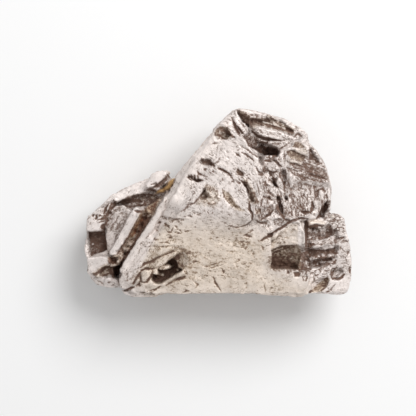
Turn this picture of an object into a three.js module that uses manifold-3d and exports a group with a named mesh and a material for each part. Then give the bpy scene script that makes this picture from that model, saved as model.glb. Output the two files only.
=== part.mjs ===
// An iron meteorite, lying on its widest side: one solid lump of coarse nickel-iron that broke along its own
// crystal plates. Millimetres, +Z up, origin at the middle of the lump's footprint on the surface it lies on.
// The lump is a union of faceted blocks and standing plates; cleavage planes trim its flanks, and the hollows
// between the plates are cut out.
import * as THREE from "three";
import { ConvexGeometry } from "three/addons/geometries/ConvexGeometry.js";
import { mergeVertices } from "three/addons/utils/BufferGeometryUtils.js";
import Module from "manifold-3d";

const wasm = await Module();
wasm.setup();

// Driving sizes, mm.
const BELLY = 7; // height of the widest outline
const OPEN_SKY = 20; // height that every hollow in the broken face is cut up to, above the whole lump
const OPEN_GROUND = -2; // height that every hollow in the underside is cut down to
const CLEAVER = 60; // side of the box that trims one flank flat
const PIT_TAPER = 0.1; // how far a pit narrows towards its floor
const PLATE_ROUND = 0.3; // rounding on the edges of the small plates
const ARC_STEPS = 4; // steps in a quarter of a rounded edge

// ---------------------------------------------------------------- solids and their joining

// A closed three.js geometry as a solid that can be joined and cut.
function solidOf(geometry) {
  const bare = new THREE.BufferGeometry();
  bare.setAttribute("position", geometry.getAttribute("position"));
  if (geometry.index) bare.setIndex(geometry.index);
  const merged = mergeVertices(bare, 1e-4);
  return new wasm.Manifold(
    new wasm.Mesh({
      numProp: 3,
      vertProperties: merged.attributes.position.array,
      triVerts: new Uint32Array(merged.index.array),
    }),
  );
}

// A solid as a three.js geometry.
function geometryOf(solid) {
  const mesh = solid.getMesh();
  const geometry = new THREE.BufferGeometry();
  geometry.setAttribute("position", new THREE.BufferAttribute(mesh.vertProperties, 3));
  geometry.setIndex(new THREE.BufferAttribute(mesh.triVerts, 1));
  geometry.computeVertexNormals();
  return geometry;
}

const joined = (solids) => solids.reduce((whole, next) => whole.add(next));
const hullOf = (points) => solidOf(new ConvexGeometry(points.map((p) => new THREE.Vector3(...p))));

// The outline at one height, drawn in towards its middle; slope tilts that level in X and Y.
function level(outline, { z, inset = 0, slope = [0, 0] }) {
  const middle = new THREE.Vector2();
  outline.forEach(([x, y]) => middle.add(new THREE.Vector2(x, y).divideScalar(outline.length)));
  return outline.map(([x, y]) => {
    const point = new THREE.Vector2(x, y);
    point.add(middle.clone().sub(point).setLength(inset));
    return [point.x, point.y, z + slope[0] * point.x + slope[1] * point.y];
  });
}

// A hollow in the broken face: a tilted floor, and walls that open upwards by its flare.
function hollow({ outline, floor, flare = 0.2 }) {
  return hullOf([...level(outline, floor), ...level(outline, { z: OPEN_SKY, inset: -flare })]);
}

// A hollow in the underside, with a tilted roof.
function underHollow({ outline, roof, flare = 0.6 }) {
  return hullOf([...level(outline, roof), ...level(outline, { z: OPEN_GROUND, inset: -flare })]);
}

// All the metal beyond one cleavage plane, which passes through a point and faces the way its normal leans.
function beyond({ through, facing }) {
  const outward = new THREE.Vector3(...facing).normalize();
  const box = new THREE.BoxGeometry(CLEAVER, CLEAVER, CLEAVER);
  const turn = new THREE.Quaternion().setFromUnitVectors(new THREE.Vector3(0, 0, 1), outward);
  box.translate(0, 0, CLEAVER / 2);
  box.applyQuaternion(turn);
  box.translate(...through);
  return solidOf(box);
}

// A faceted block: full outline at the belly, drawn in at the foot and the crown, and trimmed by cleavage
// planes.
function block({ outline, foot, belly = { z: BELLY }, crown, cleavages = [] }) {
  const whole = hullOf([...level(outline, foot), ...level(outline, belly), ...level(outline, crown)]);
  return cleavages.reduce((rest, plane) => rest.subtract(beyond(plane)), whole);
}

// A crystal plate between two points on its crest. Its crest's edges are rounded, and lean tips it sideways,
// in degrees.
function plate({ from, to, width, depth, lean = 0, round = PLATE_ROUND }) {
  const start = new THREE.Vector3(...from);
  const along = new THREE.Vector3(...to).sub(start);
  const half = width / 2 - round;
  const section = new THREE.Shape();
  section.moveTo(-half - round, -depth);
  section.lineTo(half + round, -depth);
  section.absarc(half, -round, round, 0, Math.PI / 2, false);
  section.absarc(-half, -round, round, Math.PI / 2, Math.PI, false);
  const bar = new THREE.ExtrudeGeometry(section, {
    depth: along.length(),
    bevelEnabled: false,
    curveSegments: ARC_STEPS,
  });
  // The section's own X is across the plate and its Y is up.
  const ahead = along.clone().normalize();
  const across = new THREE.Vector3().crossVectors(new THREE.Vector3(0, 0, 1), ahead).normalize();
  const up = new THREE.Vector3().crossVectors(ahead, across);
  const turned = new THREE.Matrix4().makeBasis(across, up, ahead).setPosition(start);
  bar.rotateZ(THREE.MathUtils.degToRad(lean));
  bar.applyMatrix4(turned);
  return solidOf(bar);
}

// ---------------------------------------------------------------- the main mass

// The broad lower face, which slopes gently down towards the straight near edge.
const lowerFace = block({
  outline: [
    [-16.9, -14.4], [-15.4, -15.4], [14.6, -15.35], [16.2, -9.0], [13.4, -2.4], [5.0, -2.4], [-7.5, -1.2],
  ],
  foot: { z: 2.4, inset: 5.4, slope: [0.04, 0] },
  belly: { z: 8.2, slope: [0.1, 0.05] },
  crown: { z: 15.1, inset: 0.3, slope: [0.02, 0.15] },
  cleavages: [
    { through: [-2.0, -15.3, 9.2], facing: [-0.16, -1, -0.42] },
    { through: [9.0, -15.4, 10.0], facing: [0.22, -1, -0.7] },
  ],
});

// Two low toes of the near edge.
const leftNearToe = block({
  outline: [
    [-16.6, -14.8], [-15.3, -15.75], [-13.8, -16.0], [-11.2, -16.05],
    [-9.6, -15.55], [-8.0, -15.2], [-12.5, -13.0],
  ],
  foot: { z: 4.2, inset: 1.4 },
  belly: { z: 8.6 },
  crown: { z: 12.3, inset: 0.25, slope: [0, 0.05] },
});
const rightNearToe = block({
  outline: [
    [6.0, -15.2], [9.0, -15.65], [13.0, -15.95], [14.1, -15.95], [15.1, -15.3], [15.6, -13.6], [10.0, -12.6],
  ],
  foot: { z: 5, inset: 1.6 },
  belly: { z: 9.4 },
  crown: { z: 13.2, inset: 0.25, slope: [0, 0.04] },
});

// The upper plates, the highest part of the lump.
const upperFace = block({
  outline: [
    [-10.2, -3.4], [-8.0, -2.6], [-4.0, -2.9], [2.4, -4.1], [4.8, -4.0], [8.4, -1.0],
    [8.3, 3.4], [7.0, 7.6], [4.6, 10.6], [2.2, 13.2], [-0.7, 12.3], [-5.6, 5.6],
  ],
  foot: { z: 1.2, inset: 4.6 },
  crown: { z: 15.9, inset: 0.5, slope: [0.06, -0.08] },
  cleavages: [{ through: [-2.6, 10.4, 7.2], facing: [-0.86, 0.6, -0.5] }],
});

// The broken shoulder, falling away to the right.
const shoulder = block({
  outline: [
    [5.5, -3.5], [13.6, -3.6], [17.6, -3.2], [19.0, -1.6], [19.1, 0.3], [19.35, 2.5],
    [18.8, 4.7], [18.0, 7.0], [16.7, 8.9], [15.3, 10.3], [11.0, 9.6], [7.0, 8.0],
  ],
  foot: { z: 2.2, inset: 4.2 },
  belly: { z: 7.4, slope: [0, 0.12] },
  crown: { z: 16.6, inset: 0.7, slope: [-0.22, -0.03] },
  cleavages: [{ through: [19.2, 3.0, 7.6], facing: [1, 0.32, -0.62] }],
});

// The head, whose far edge is a thin raised rim.
const head = block({
  outline: [
    [-0.9, 12.6], [0.8, 14.3], [2.35, 15.7], [3.4, 16.05], [5.9, 15.7], [8.7, 14.9],
    [11.3, 14.2], [13.5, 12.9], [15.0, 11.6], [15.4, 10.3], [12.0, 7.5], [4.0, 7.5], [-1.6, 10.6],
  ],
  foot: { z: 3.6, inset: 3.8, slope: [0.08, 0] },
  belly: { z: 6.6, slope: [0.12, 0.1] },
  crown: { z: 14.6, inset: 0.6, slope: [-0.07, -0.08] },
  cleavages: [{ through: [9.5, 14.7, 8.4], facing: [0.3, 1, -0.7] }],
});

// The long smooth plate that stands as the main mass's left edge; it bends where the left lobe leaves it.
const longPlateLower = plate({
  from: [-15.4, -14.4, 12.6],
  to: [-5.5, 3.2, 14.1],
  width: 4,
  depth: 8.5,
  lean: -9,
  round: 1.5,
});
const longPlateUpper = plate({
  from: [-6.45, 3.0, 14.2],
  to: [1.4, 12.4, 14.6],
  width: 4,
  depth: 9,
  lean: -16,
  round: 1.5,
});

// The flat cleavage face that the lump lies on.
const keel = block({
  outline: [
    [-11.0, -10.5], [-3.0, -12.6], [9.0, -12.2], [14.0, -5.0], [12.6, 4.2], [4.2, 9.2], [-4.4, 4.2],
  ],
  foot: { z: 0, inset: 2.2 },
  belly: { z: 3.2 },
  crown: { z: 9, inset: 1 },
});

// ---------------------------------------------------------------- the left lobe

// The low metal under the trench and the square-cornered recess.
const leftFloor = block({
  outline: [
    [-22.35, -2.4], [-20.2, -0.7], [-18.4, 1.2], [-15.8, 2.7], [-12.0, 4.1], [-8.0, 4.6],
    [-9.0, -3.0], [-14.0, -14.8], [-17.7, -14.6], [-20.6, -14.2],
    [-22.3, -11.9], [-22.7, -8.4], [-22.5, -5.8],
  ],
  foot: { z: 1.8, inset: 5 },
  belly: { z: 5.4, slope: [-0.02, 0.06] },
  crown: { z: 8.2, inset: 0.4, slope: [0.02, 0] },
  cleavages: [
    { through: [-15.0, 3.0, 6.4], facing: [-0.4, 1, -0.8] },
    { through: [-22.3, -6.0, 5.6], facing: [-1, 0.05, -0.72] },
    { through: [-18.4, -14.5, 6.0], facing: [-0.5, -1, -0.8] },
  ],
});

// The bright strip along the lobe's far edge.
const leftRim = block({
  outline: [
    [-20.2, -0.9], [-18.4, 1.2], [-15.8, 2.75], [-12.0, 4.25], [-10.6, 4.3], [-10.4, 2.3],
    [-12.3, 1.8], [-14.8, 1.3], [-16.6, 0.2], [-18.6, -0.4],
  ],
  foot: { z: 3.4, inset: 0.6 },
  belly: { z: 6.4 },
  crown: { z: 10.7, inset: 0.35, slope: [0, -0.3] },
});

// The knob at the end of the strip, standing clear of the long plate.
const leftTip = block({
  outline: [[-12.4, 2.4], [-11.8, 4.4], [-10.7, 5.4], [-9.1, 5.75], [-8.1, 5.3], [-8.3, 3.6], [-10.2, 1.9]],
  foot: { z: 3.6, inset: 0.8 },
  crown: { z: 14.6, inset: 0.35, slope: [0.2, -0.2] },
});

const leftKnob = block({
  outline: [
    [-22.45, -4.9], [-22.35, -2.3], [-21.1, -1.6], [-20.0, -0.6], [-18.4, -0.9],
    [-18.7, -3.6], [-19.4, -4.8], [-20.6, -5.25],
  ],
  foot: { z: 3, inset: 0.6 },
  crown: { z: 10.9, inset: 0.35 },
});

// The thin wall that closes the square-cornered recess on the outside.
const recessWall = block({
  outline: [[-22.55, -4.6], [-22.2, -4.6], [-21.75, -9.4], [-22.5, -9.4], [-22.7, -8.3]],
  foot: { z: 3.4, inset: 0.1 },
  belly: { z: 5.8 },
  crown: { z: 9.6, inset: 0.05 },
});

const leftToe = block({
  outline: [
    [-22.3, -9.0], [-22.4, -11.8], [-21.7, -13.2], [-20.6, -14.25], [-17.7, -14.65],
    [-16.4, -14.4], [-17.6, -10.6], [-18.5, -8.7],
  ],
  foot: { z: 2.6, inset: 1.6 },
  belly: { z: 5.6 },
  crown: { z: 15.4, inset: 0.35, slope: [0.12, 0.26] },
});

// The rough grey face between the knob and the bar.
const leftSlope = block({
  outline: [
    [-19.2, -3.6], [-18.2, -0.6], [-15.8, -0.1], [-14.4, -1.2], [-17.0, -6.2], [-18.2, -8.6], [-19.1, -8.2],
  ],
  foot: { z: 4, inset: 0.4 },
  belly: { z: 6 },
  crown: { z: 12.4, inset: 0.2, slope: [0.16, 0.1] },
});

const leftBar = plate({
  from: [-17.95, -8.95, 10.1],
  to: [-13.5, -0.95, 11.2],
  width: 1.5,
  depth: 4,
  lean: -8,
});

// ---------------------------------------------------------------- the right lobe

const rightLobe = block({
  outline: [
    [17.6, -1.6], [20.4, -1.8], [21.2, -2.3], [21.8, -4.8], [22.3, -7.7], [22.7, -9.6],
    [22.55, -13.1], [21.8, -15.0], [20.9, -15.7], [15.0, -15.4], [12.5, -12.0], [12.5, -3.0],
  ],
  foot: { z: 2.4, inset: 4, slope: [0, -0.1] },
  belly: { z: 6.6, slope: [0, -0.12] },
  crown: { z: 13.9, inset: 0.5, slope: [-0.1, 0.02] },
  cleavages: [
    { through: [22.4, -10.0, 7.4], facing: [1, -0.25, -0.75] },
    { through: [18.0, -15.3, 7.0], facing: [0.1, -1, -0.6] },
  ],
});

// ---------------------------------------------------------------- hollows of the broken face

const hollows = [
  // the dark band under the head's rim
  hollow({
    outline: [
      [5.1, 14.1], [7.3, 13.9], [8.6, 14.1], [10.3, 13.6], [11.4, 12.8],
      [12.6, 12.1], [12.4, 11.4], [10.7, 11.8], [8.9, 12.2], [5.6, 12.4],
    ],
    floor: { z: 10.7, inset: 0.2, slope: [0.02, 0] },
    flare: 0,
  }),
  hollow({
    outline: [[2.8, 15.4], [4.6, 14.6], [5.3, 13.9], [5.2, 12.1], [4.1, 13.4], [3.2, 14.5]],
    floor: { z: 11.4, inset: 0.15, slope: [-0.1, 0] },
    flare: 0,
  }),
  // the deep cavity below the head's inner plates
  hollow({
    outline: [
      [4.0, 10.9], [5.6, 10.6], [7.3, 9.9], [9.6, 9.5], [10.4, 8.4], [9.7, 7.4], [8.5, 7.1], [5.6, 9.2],
    ],
    floor: { z: 14.8, inset: 0.2, slope: [-0.66, 0] },
    flare: 0,
  }),
  // the round pit near the head's left corner
  hollow({
    outline: [[-0.7, 11.9], [0.1, 12.8], [1.2, 12.6], [2.4, 10.8], [1.6, 10.4], [0.5, 10.4], [-0.3, 10.9]],
    floor: { z: 13.2, inset: 0.3 },
  }),
  // the dark corner outside the shoulder's block
  hollow({
    outline: [[15.0, 9.6], [16.2, 7.9], [17.0, 6.8], [16.0, 6.2], [14.9, 6.6]],
    floor: { z: 12.0, inset: 0.2 },
  }),
  // the slot where the shoulder meets the right lobe
  hollow({
    outline: [[18.3, 0.3], [18.5, -0.7], [17.4, -2.6], [16.6, -2.3], [17.2, -0.9]],
    floor: { z: 10.2, inset: 0.1 },
    flare: 0.1,
  }),
  // the square-cornered pocket, deepest in its near left corner
  hollow({
    outline: [[8.75, -6.2], [11.6, -3.4], [13.9, -2.9], [14.15, -8.0], [13.2, -11.2], [8.75, -10.8]],
    floor: { z: 16.2, inset: 0.1, slope: [0.05, 0.66] },
    flare: 0,
  }),
  // the ledged basin of the right lobe
  hollow({
    outline: [
      [14.9, -3.8], [17.6, -3.7], [20.0, -4.4], [20.6, -6.6], [19.6, -9.6], [16.4, -11.0], [14.4, -11.2],
    ],
    floor: { z: 11.2, inset: 0.3, slope: [0, 0.06] },
  }),
  // the hollow beside the long plate's lower end
  hollow({
    outline: [
      [-11.0, -12.6], [-10.3, -13.4], [-8.6, -12.9], [-6.3, -11.4],
      [-5.2, -9.6], [-5.8, -8.3], [-6.8, -8.6], [-10.4, -11.2],
    ],
    floor: { z: 15.0, inset: 0.2, slope: [0.44, 0] },
    flare: 0.1,
  }),
  // the deep hole where the trench ends
  hollow({
    outline: [[-17.9, -10.9], [-16.6, -10.6], [-16.9, -13.0], [-17.8, -12.6]],
    floor: { z: 5, inset: 0.1 },
    flare: 0.1,
  }),
];

// ---------------------------------------------------------------- pits and fissures

// A pit or a fissure with steep walls and a floor at z, which slope tilts.
function pit(outline, z, slope = [0, 0]) {
  return hollow({ outline, floor: { z, inset: PIT_TAPER, slope }, flare: 0 });
}

const upperFacePits = [
  pit([[-3.4, 7.1], [-2.7, 7.4], [-1.2, 7.1], [-0.9, 6.3], [-1.1, 5.9], [-1.8, 5.9], [-3.1, 6.6]], 14.3),
  pit([[-5.3, 4.3], [-4.7, 4.4], [-3.7, 4.2], [-2.5, 3.6], [-2.5, 3.4], [-3.4, 3.4], [-4.8, 3.9]], 14.5),
  pit([[3.0, 5.8], [3.6, 5.2], [4.2, 4.8], [3.9, 4.3], [3.2, 4.7], [2.9, 5.1]], 14.7),
  pit([[-2.3, 2.6], [-1.7, 1.8], [-1.9, 0.6], [-3.1, 0.2], [-2.8, 1.4]], 14.6, [0.1, 0]),
];
const upperFaceFissures = [
  pit([[3.8, 3.8], [4.6, 3.3], [5.3, 2.1], [5.6, 1.1], [4.8, 1.0], [4.5, 2.2]], 15.0),
  pit([[4.8, 1.3], [5.6, 1.3], [6.1, -0.1], [5.3, -0.3]], 15.1),
  pit([[0.8, 2.2], [1.3, 1.7], [2.4, 0.2], [3.7, -1.5], [2.9, -1.2], [1.6, 0.2]], 15.2),
];
const shoulderFissures = [
  pit([[9.5, 1.2], [10.1, 1.1], [10.6, -0.8], [10.8, -2.1], [10.3, -2.1], [9.8, -0.6]], 13.0),
  pit([[8.2, 4.4], [9.1, 3.8], [9.7, 2.6], [9.0, 2.7]], 13.4),
  pit([[10.4, 5.5], [11.1, 5.6], [11.3, 3.8], [11.0, 1.6], [10.8, 3.6]], 13.2),
  pit([[10.9, 1.1], [11.3, 1.2], [11.7, 0.3], [11.0, 0.3]], 12.9),
  pit([[6.6, 5.6], [7.3, 5.0], [9.0, 3.9], [8.2, 3.9], [6.9, 4.9]], 14.4),
];
const rightLobePits = [
  pit([[19.1, -11.2], [20.4, -10.9], [20.8, -11.5], [20.1, -11.9], [19.8, -12.9], [18.9, -12.7]], 10.6),
  pit(
    [[15.4, -13.4], [16.9, -12.6], [18.6, -12.4], [18.1, -13.7], [16.6, -14.7], [15.6, -14.6]],
    12.6, [-0.06, 0.04],
  ),
];
const leftLobePits = [
  pit(
    [[-11.2, -0.9], [-12.3, -2.6], [-13.9, -5.9], [-15.6, -9.2], [-16.2, -9.1], [-14.6, -5.6], [-12.4, -1.4]],
    4.8,
  ),
  pit(
    [[-19.9, -11.2], [-18.8, -10.4], [-17.8, -10.9], [-17.8, -12.2], [-19.1, -12.7], [-20.1, -12.1]],
    9.0, [0, 0.1],
  ),
];
const pits = [...upperFacePits, ...upperFaceFissures, ...shoulderFissures, ...rightLobePits, ...leftLobePits];

// ---------------------------------------------------------------- plates that stand in those hollows

const innerPlates = [
  plate({ from: [5.7, 12.0, 12.9], to: [12.9, 10.6, 12.8], width: 1.4, depth: 5, lean: 12 }),
  plate({ from: [7.0, 10.3, 12.1], to: [11.4, 9.4, 12.2], width: 0.9, depth: 4, lean: 14 }),
  plate({ from: [2.3, 14.4, 13.3], to: [4.4, 11.3, 13.9], width: 1.2, depth: 4, lean: -10 }),
  plate({ from: [12.3, 9.3, 13.7], to: [14.9, 8.3, 13.3], width: 1.7, depth: 5, lean: 10 }),
  plate({ from: [15.0, -3.7, 12.9], to: [17.8, -3.7, 12.6], width: 1.1, depth: 5 }),
  plate({ from: [14.8, -7.3, 12.3], to: [20.4, -6.7, 11.9], width: 0.8, depth: 5, lean: 10 }),
  plate({ from: [15.0, -9.5, 12.0], to: [19.8, -8.9, 11.8], width: 0.8, depth: 5, lean: 10 }),
  plate({ from: [-8.6, -13.3, 12.8], to: [-5.9, -11.4, 13.2], width: 0.8, depth: 3 }),
];

// ---------------------------------------------------------------- the underside

const underHollows = [
  underHollow({
    outline: [[-17.0, -3.5], [-13.5, -1.0], [-10.5, -1.8], [-9.8, -7.5], [-12.5, -11.5], [-15.5, -10.0]],
    roof: { z: 4.2, inset: 0.8, slope: [-0.05, 0] },
  }),
  underHollow({
    outline: [[4.6, 4.6], [6.0, 9.0], [9.8, 9.6], [12.6, 6.6], [10.8, 3.4]],
    roof: { z: 4.4, inset: 0.8, slope: [0.05, 0.06] },
  }),
  underHollow({
    outline: [[12.2, -11.8], [15.8, -11.2], [17.4, -7.0], [15.0, -4.4], [12.4, -6.4]],
    roof: { z: 3.6, inset: 0.7, slope: [0.04, 0] },
  }),
  underHollow({
    outline: [[-6.8, -13.6], [-5.6, -11.2], [-1.2, -11.6], [-0.4, -13.8]],
    roof: { z: 3.8, inset: 0.4 },
  }),
];

const underPlates = [
  plate({ from: [-16.0, -8.6, 7.0], to: [-11.6, -1.8, 6.6], width: 1.6, depth: 4.4, lean: 8 }),
  plate({ from: [7.2, 3.8, 8.0], to: [9.6, 9.2, 8.0], width: 1.4, depth: 5.2, lean: -12 }),
  plate({ from: [13.6, -10.8, 7.6], to: [15.6, -5.2, 7.4], width: 1.3, depth: 4.6, lean: 10 }),
];

// ---------------------------------------------------------------- the lump

const mass = joined([
  lowerFace, leftNearToe, rightNearToe, upperFace, shoulder,
  head, longPlateLower, longPlateUpper, keel, rightLobe,
]);
const leftLobe = joined([leftFloor, leftRim, leftTip, leftKnob, recessWall, leftToe, leftSlope, leftBar]);
const lump = mass
  .add(leftLobe)
  .subtract(joined([...hollows, ...pits, ...underHollows]))
  .add(joined([...innerPlates, ...underPlates]));

const meteorite = new THREE.Mesh(
  geometryOf(lump),
  new THREE.MeshStandardMaterial({ color: 0xc9c0b8, roughness: 0.45, metalness: 0.9 }),
);
meteorite.name = "meteorite";

const part = new THREE.Group();
part.add(meteorite);
export default part;
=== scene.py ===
"""An iron meteorite: a lump of coarse nickel-iron, 45 mm long, that broke along its own crystal plates.

The CAD lump gives the size and the large plates. This file carves the finer relief into a distance field
around it, meshes that, and covers it with burnished metal on the high ground and brown oxide in the hollows,
with painted shade added in the hollows and a few painted shadows.
Lengths in the carving are millimetres, in the lump's own frame; Blender's objects are in metres."""

import math

import bmesh
import bpy
import numpy as np
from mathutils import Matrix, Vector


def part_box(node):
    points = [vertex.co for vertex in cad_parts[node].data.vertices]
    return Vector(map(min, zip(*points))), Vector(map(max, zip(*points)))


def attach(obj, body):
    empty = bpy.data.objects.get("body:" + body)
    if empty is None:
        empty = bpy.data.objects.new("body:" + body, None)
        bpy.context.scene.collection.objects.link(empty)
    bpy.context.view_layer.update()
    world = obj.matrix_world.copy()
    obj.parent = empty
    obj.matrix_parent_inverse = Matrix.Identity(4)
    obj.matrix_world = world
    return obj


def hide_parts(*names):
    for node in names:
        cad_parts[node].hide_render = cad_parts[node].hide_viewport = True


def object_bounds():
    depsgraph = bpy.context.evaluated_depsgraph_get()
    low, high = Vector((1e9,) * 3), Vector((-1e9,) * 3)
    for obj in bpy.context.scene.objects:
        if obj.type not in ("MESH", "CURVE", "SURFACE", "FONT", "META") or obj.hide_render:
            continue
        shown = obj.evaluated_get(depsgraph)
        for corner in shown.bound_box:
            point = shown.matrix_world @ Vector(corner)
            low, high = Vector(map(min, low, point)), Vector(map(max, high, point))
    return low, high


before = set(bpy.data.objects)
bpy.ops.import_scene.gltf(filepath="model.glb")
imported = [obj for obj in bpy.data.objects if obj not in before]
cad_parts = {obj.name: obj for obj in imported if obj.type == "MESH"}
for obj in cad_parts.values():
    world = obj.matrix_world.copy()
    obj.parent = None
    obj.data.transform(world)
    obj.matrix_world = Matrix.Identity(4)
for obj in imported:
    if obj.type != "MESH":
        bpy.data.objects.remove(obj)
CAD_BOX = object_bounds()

import openvdb
from bpy.props import FloatProperty, FloatVectorProperty, IntProperty, PointerProperty

bl_info = {
    "name": "Iron Meteorite",
    "version": (1, 0, 0),
    "blender": (4, 5, 0),
    "location": "View3D > Sidebar > Meteorite",
    "description": "Carves a plated iron meteorite and sets it on a pale studio floor",
    "category": "Add Mesh",
}

MM = 0.001  # metres in a millimetre
TRIANGLES = 190000  # the most that the lump's mesh may hold


# ------------------------------------------------------------------ numbers and noise


def smooth(low, high, value):
    """0 below low, 1 above high, and an even ramp between; low may be the greater."""
    t = np.clip((value - low) / (high - low), 0.0, 1.0)
    return t * t * (3.0 - 2.0 * t)


def mix(a, b, t):
    """What lies between a, where t is 0, and b, where t is 1."""
    return a + (b - a) * t


def value_noise(coordinates, seed):
    """Smooth noise from -1 to 1 in two or three dimensions, one lattice cell to the unit."""
    dimensions = len(coordinates)
    side = 256 if dimensions == 2 else 64
    lattice = np.random.default_rng(seed).random((side,) * dimensions, dtype=np.float32)
    cells = [np.floor(c).astype(np.int32) for c in coordinates]
    steps = [smooth(0.0, 1.0, c - cell) for c, cell in zip(coordinates, cells)]
    total = 0.0
    for corner in np.ndindex((2,) * dimensions):
        weight = 1.0
        for bit, step in zip(corner, steps):
            weight = weight * (step if bit else 1.0 - step)
        index = tuple((cell + bit) % side for bit, cell in zip(corner, cells))
        total = total + weight * lattice[index]
    return total * 2.0 - 1.0


def fractal(coordinates, seed, octaves=3):
    """Noise with finer, weaker noise added to it; still about -1 to 1."""
    total, weight, reach = 0.0, 1.0, 0.0
    for octave in range(octaves):
        scaled = [c * 2.0**octave + 17.3 * octave for c in coordinates]
        total = total + weight * value_noise(scaled, seed + octave)
        reach += weight
        weight *= 0.5
    return total / reach * 1.4


def cells(coordinates, seed):
    """Jittered cells one unit wide. For each point: its cell's random numbers (four of them), the offsets to
    its cell's middle, and how far it is from the nearest border."""
    dimensions = len(coordinates)
    side = 64 if dimensions == 2 else 24
    table = np.random.default_rng(seed).random((side,) * dimensions + (dimensions + 4,), dtype=np.float32)
    base = [np.floor(c).astype(np.int32) for c in coordinates]
    shape = coordinates[0].shape
    nearest = np.full(shape, 1e9, np.float32)
    second = np.full(shape, 1e9, np.float32)
    traits = np.zeros(shape + (4,), np.float32)
    offsets = [np.zeros(shape, np.float32) for _ in coordinates]
    for neighbour in np.ndindex((3,) * dimensions):
        index = [b + n - 1 for b, n in zip(base, neighbour)]
        found = table[tuple(i % side for i in index)]
        delta = [c - (i + found[..., k]) for k, (c, i) in enumerate(zip(coordinates, index))]
        distance = np.sqrt(sum(d * d for d in delta))
        closer = distance < nearest
        second = np.where(closer, nearest, np.minimum(second, distance))
        nearest = np.where(closer, distance, nearest)
        traits = np.where(closer[..., None], found[..., dimensions:], traits)
        offsets = [np.where(closer, d, o) for d, o in zip(delta, offsets)]
    return traits, offsets, second - nearest


# ------------------------------------------------------------------ the relief of the broken face


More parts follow.
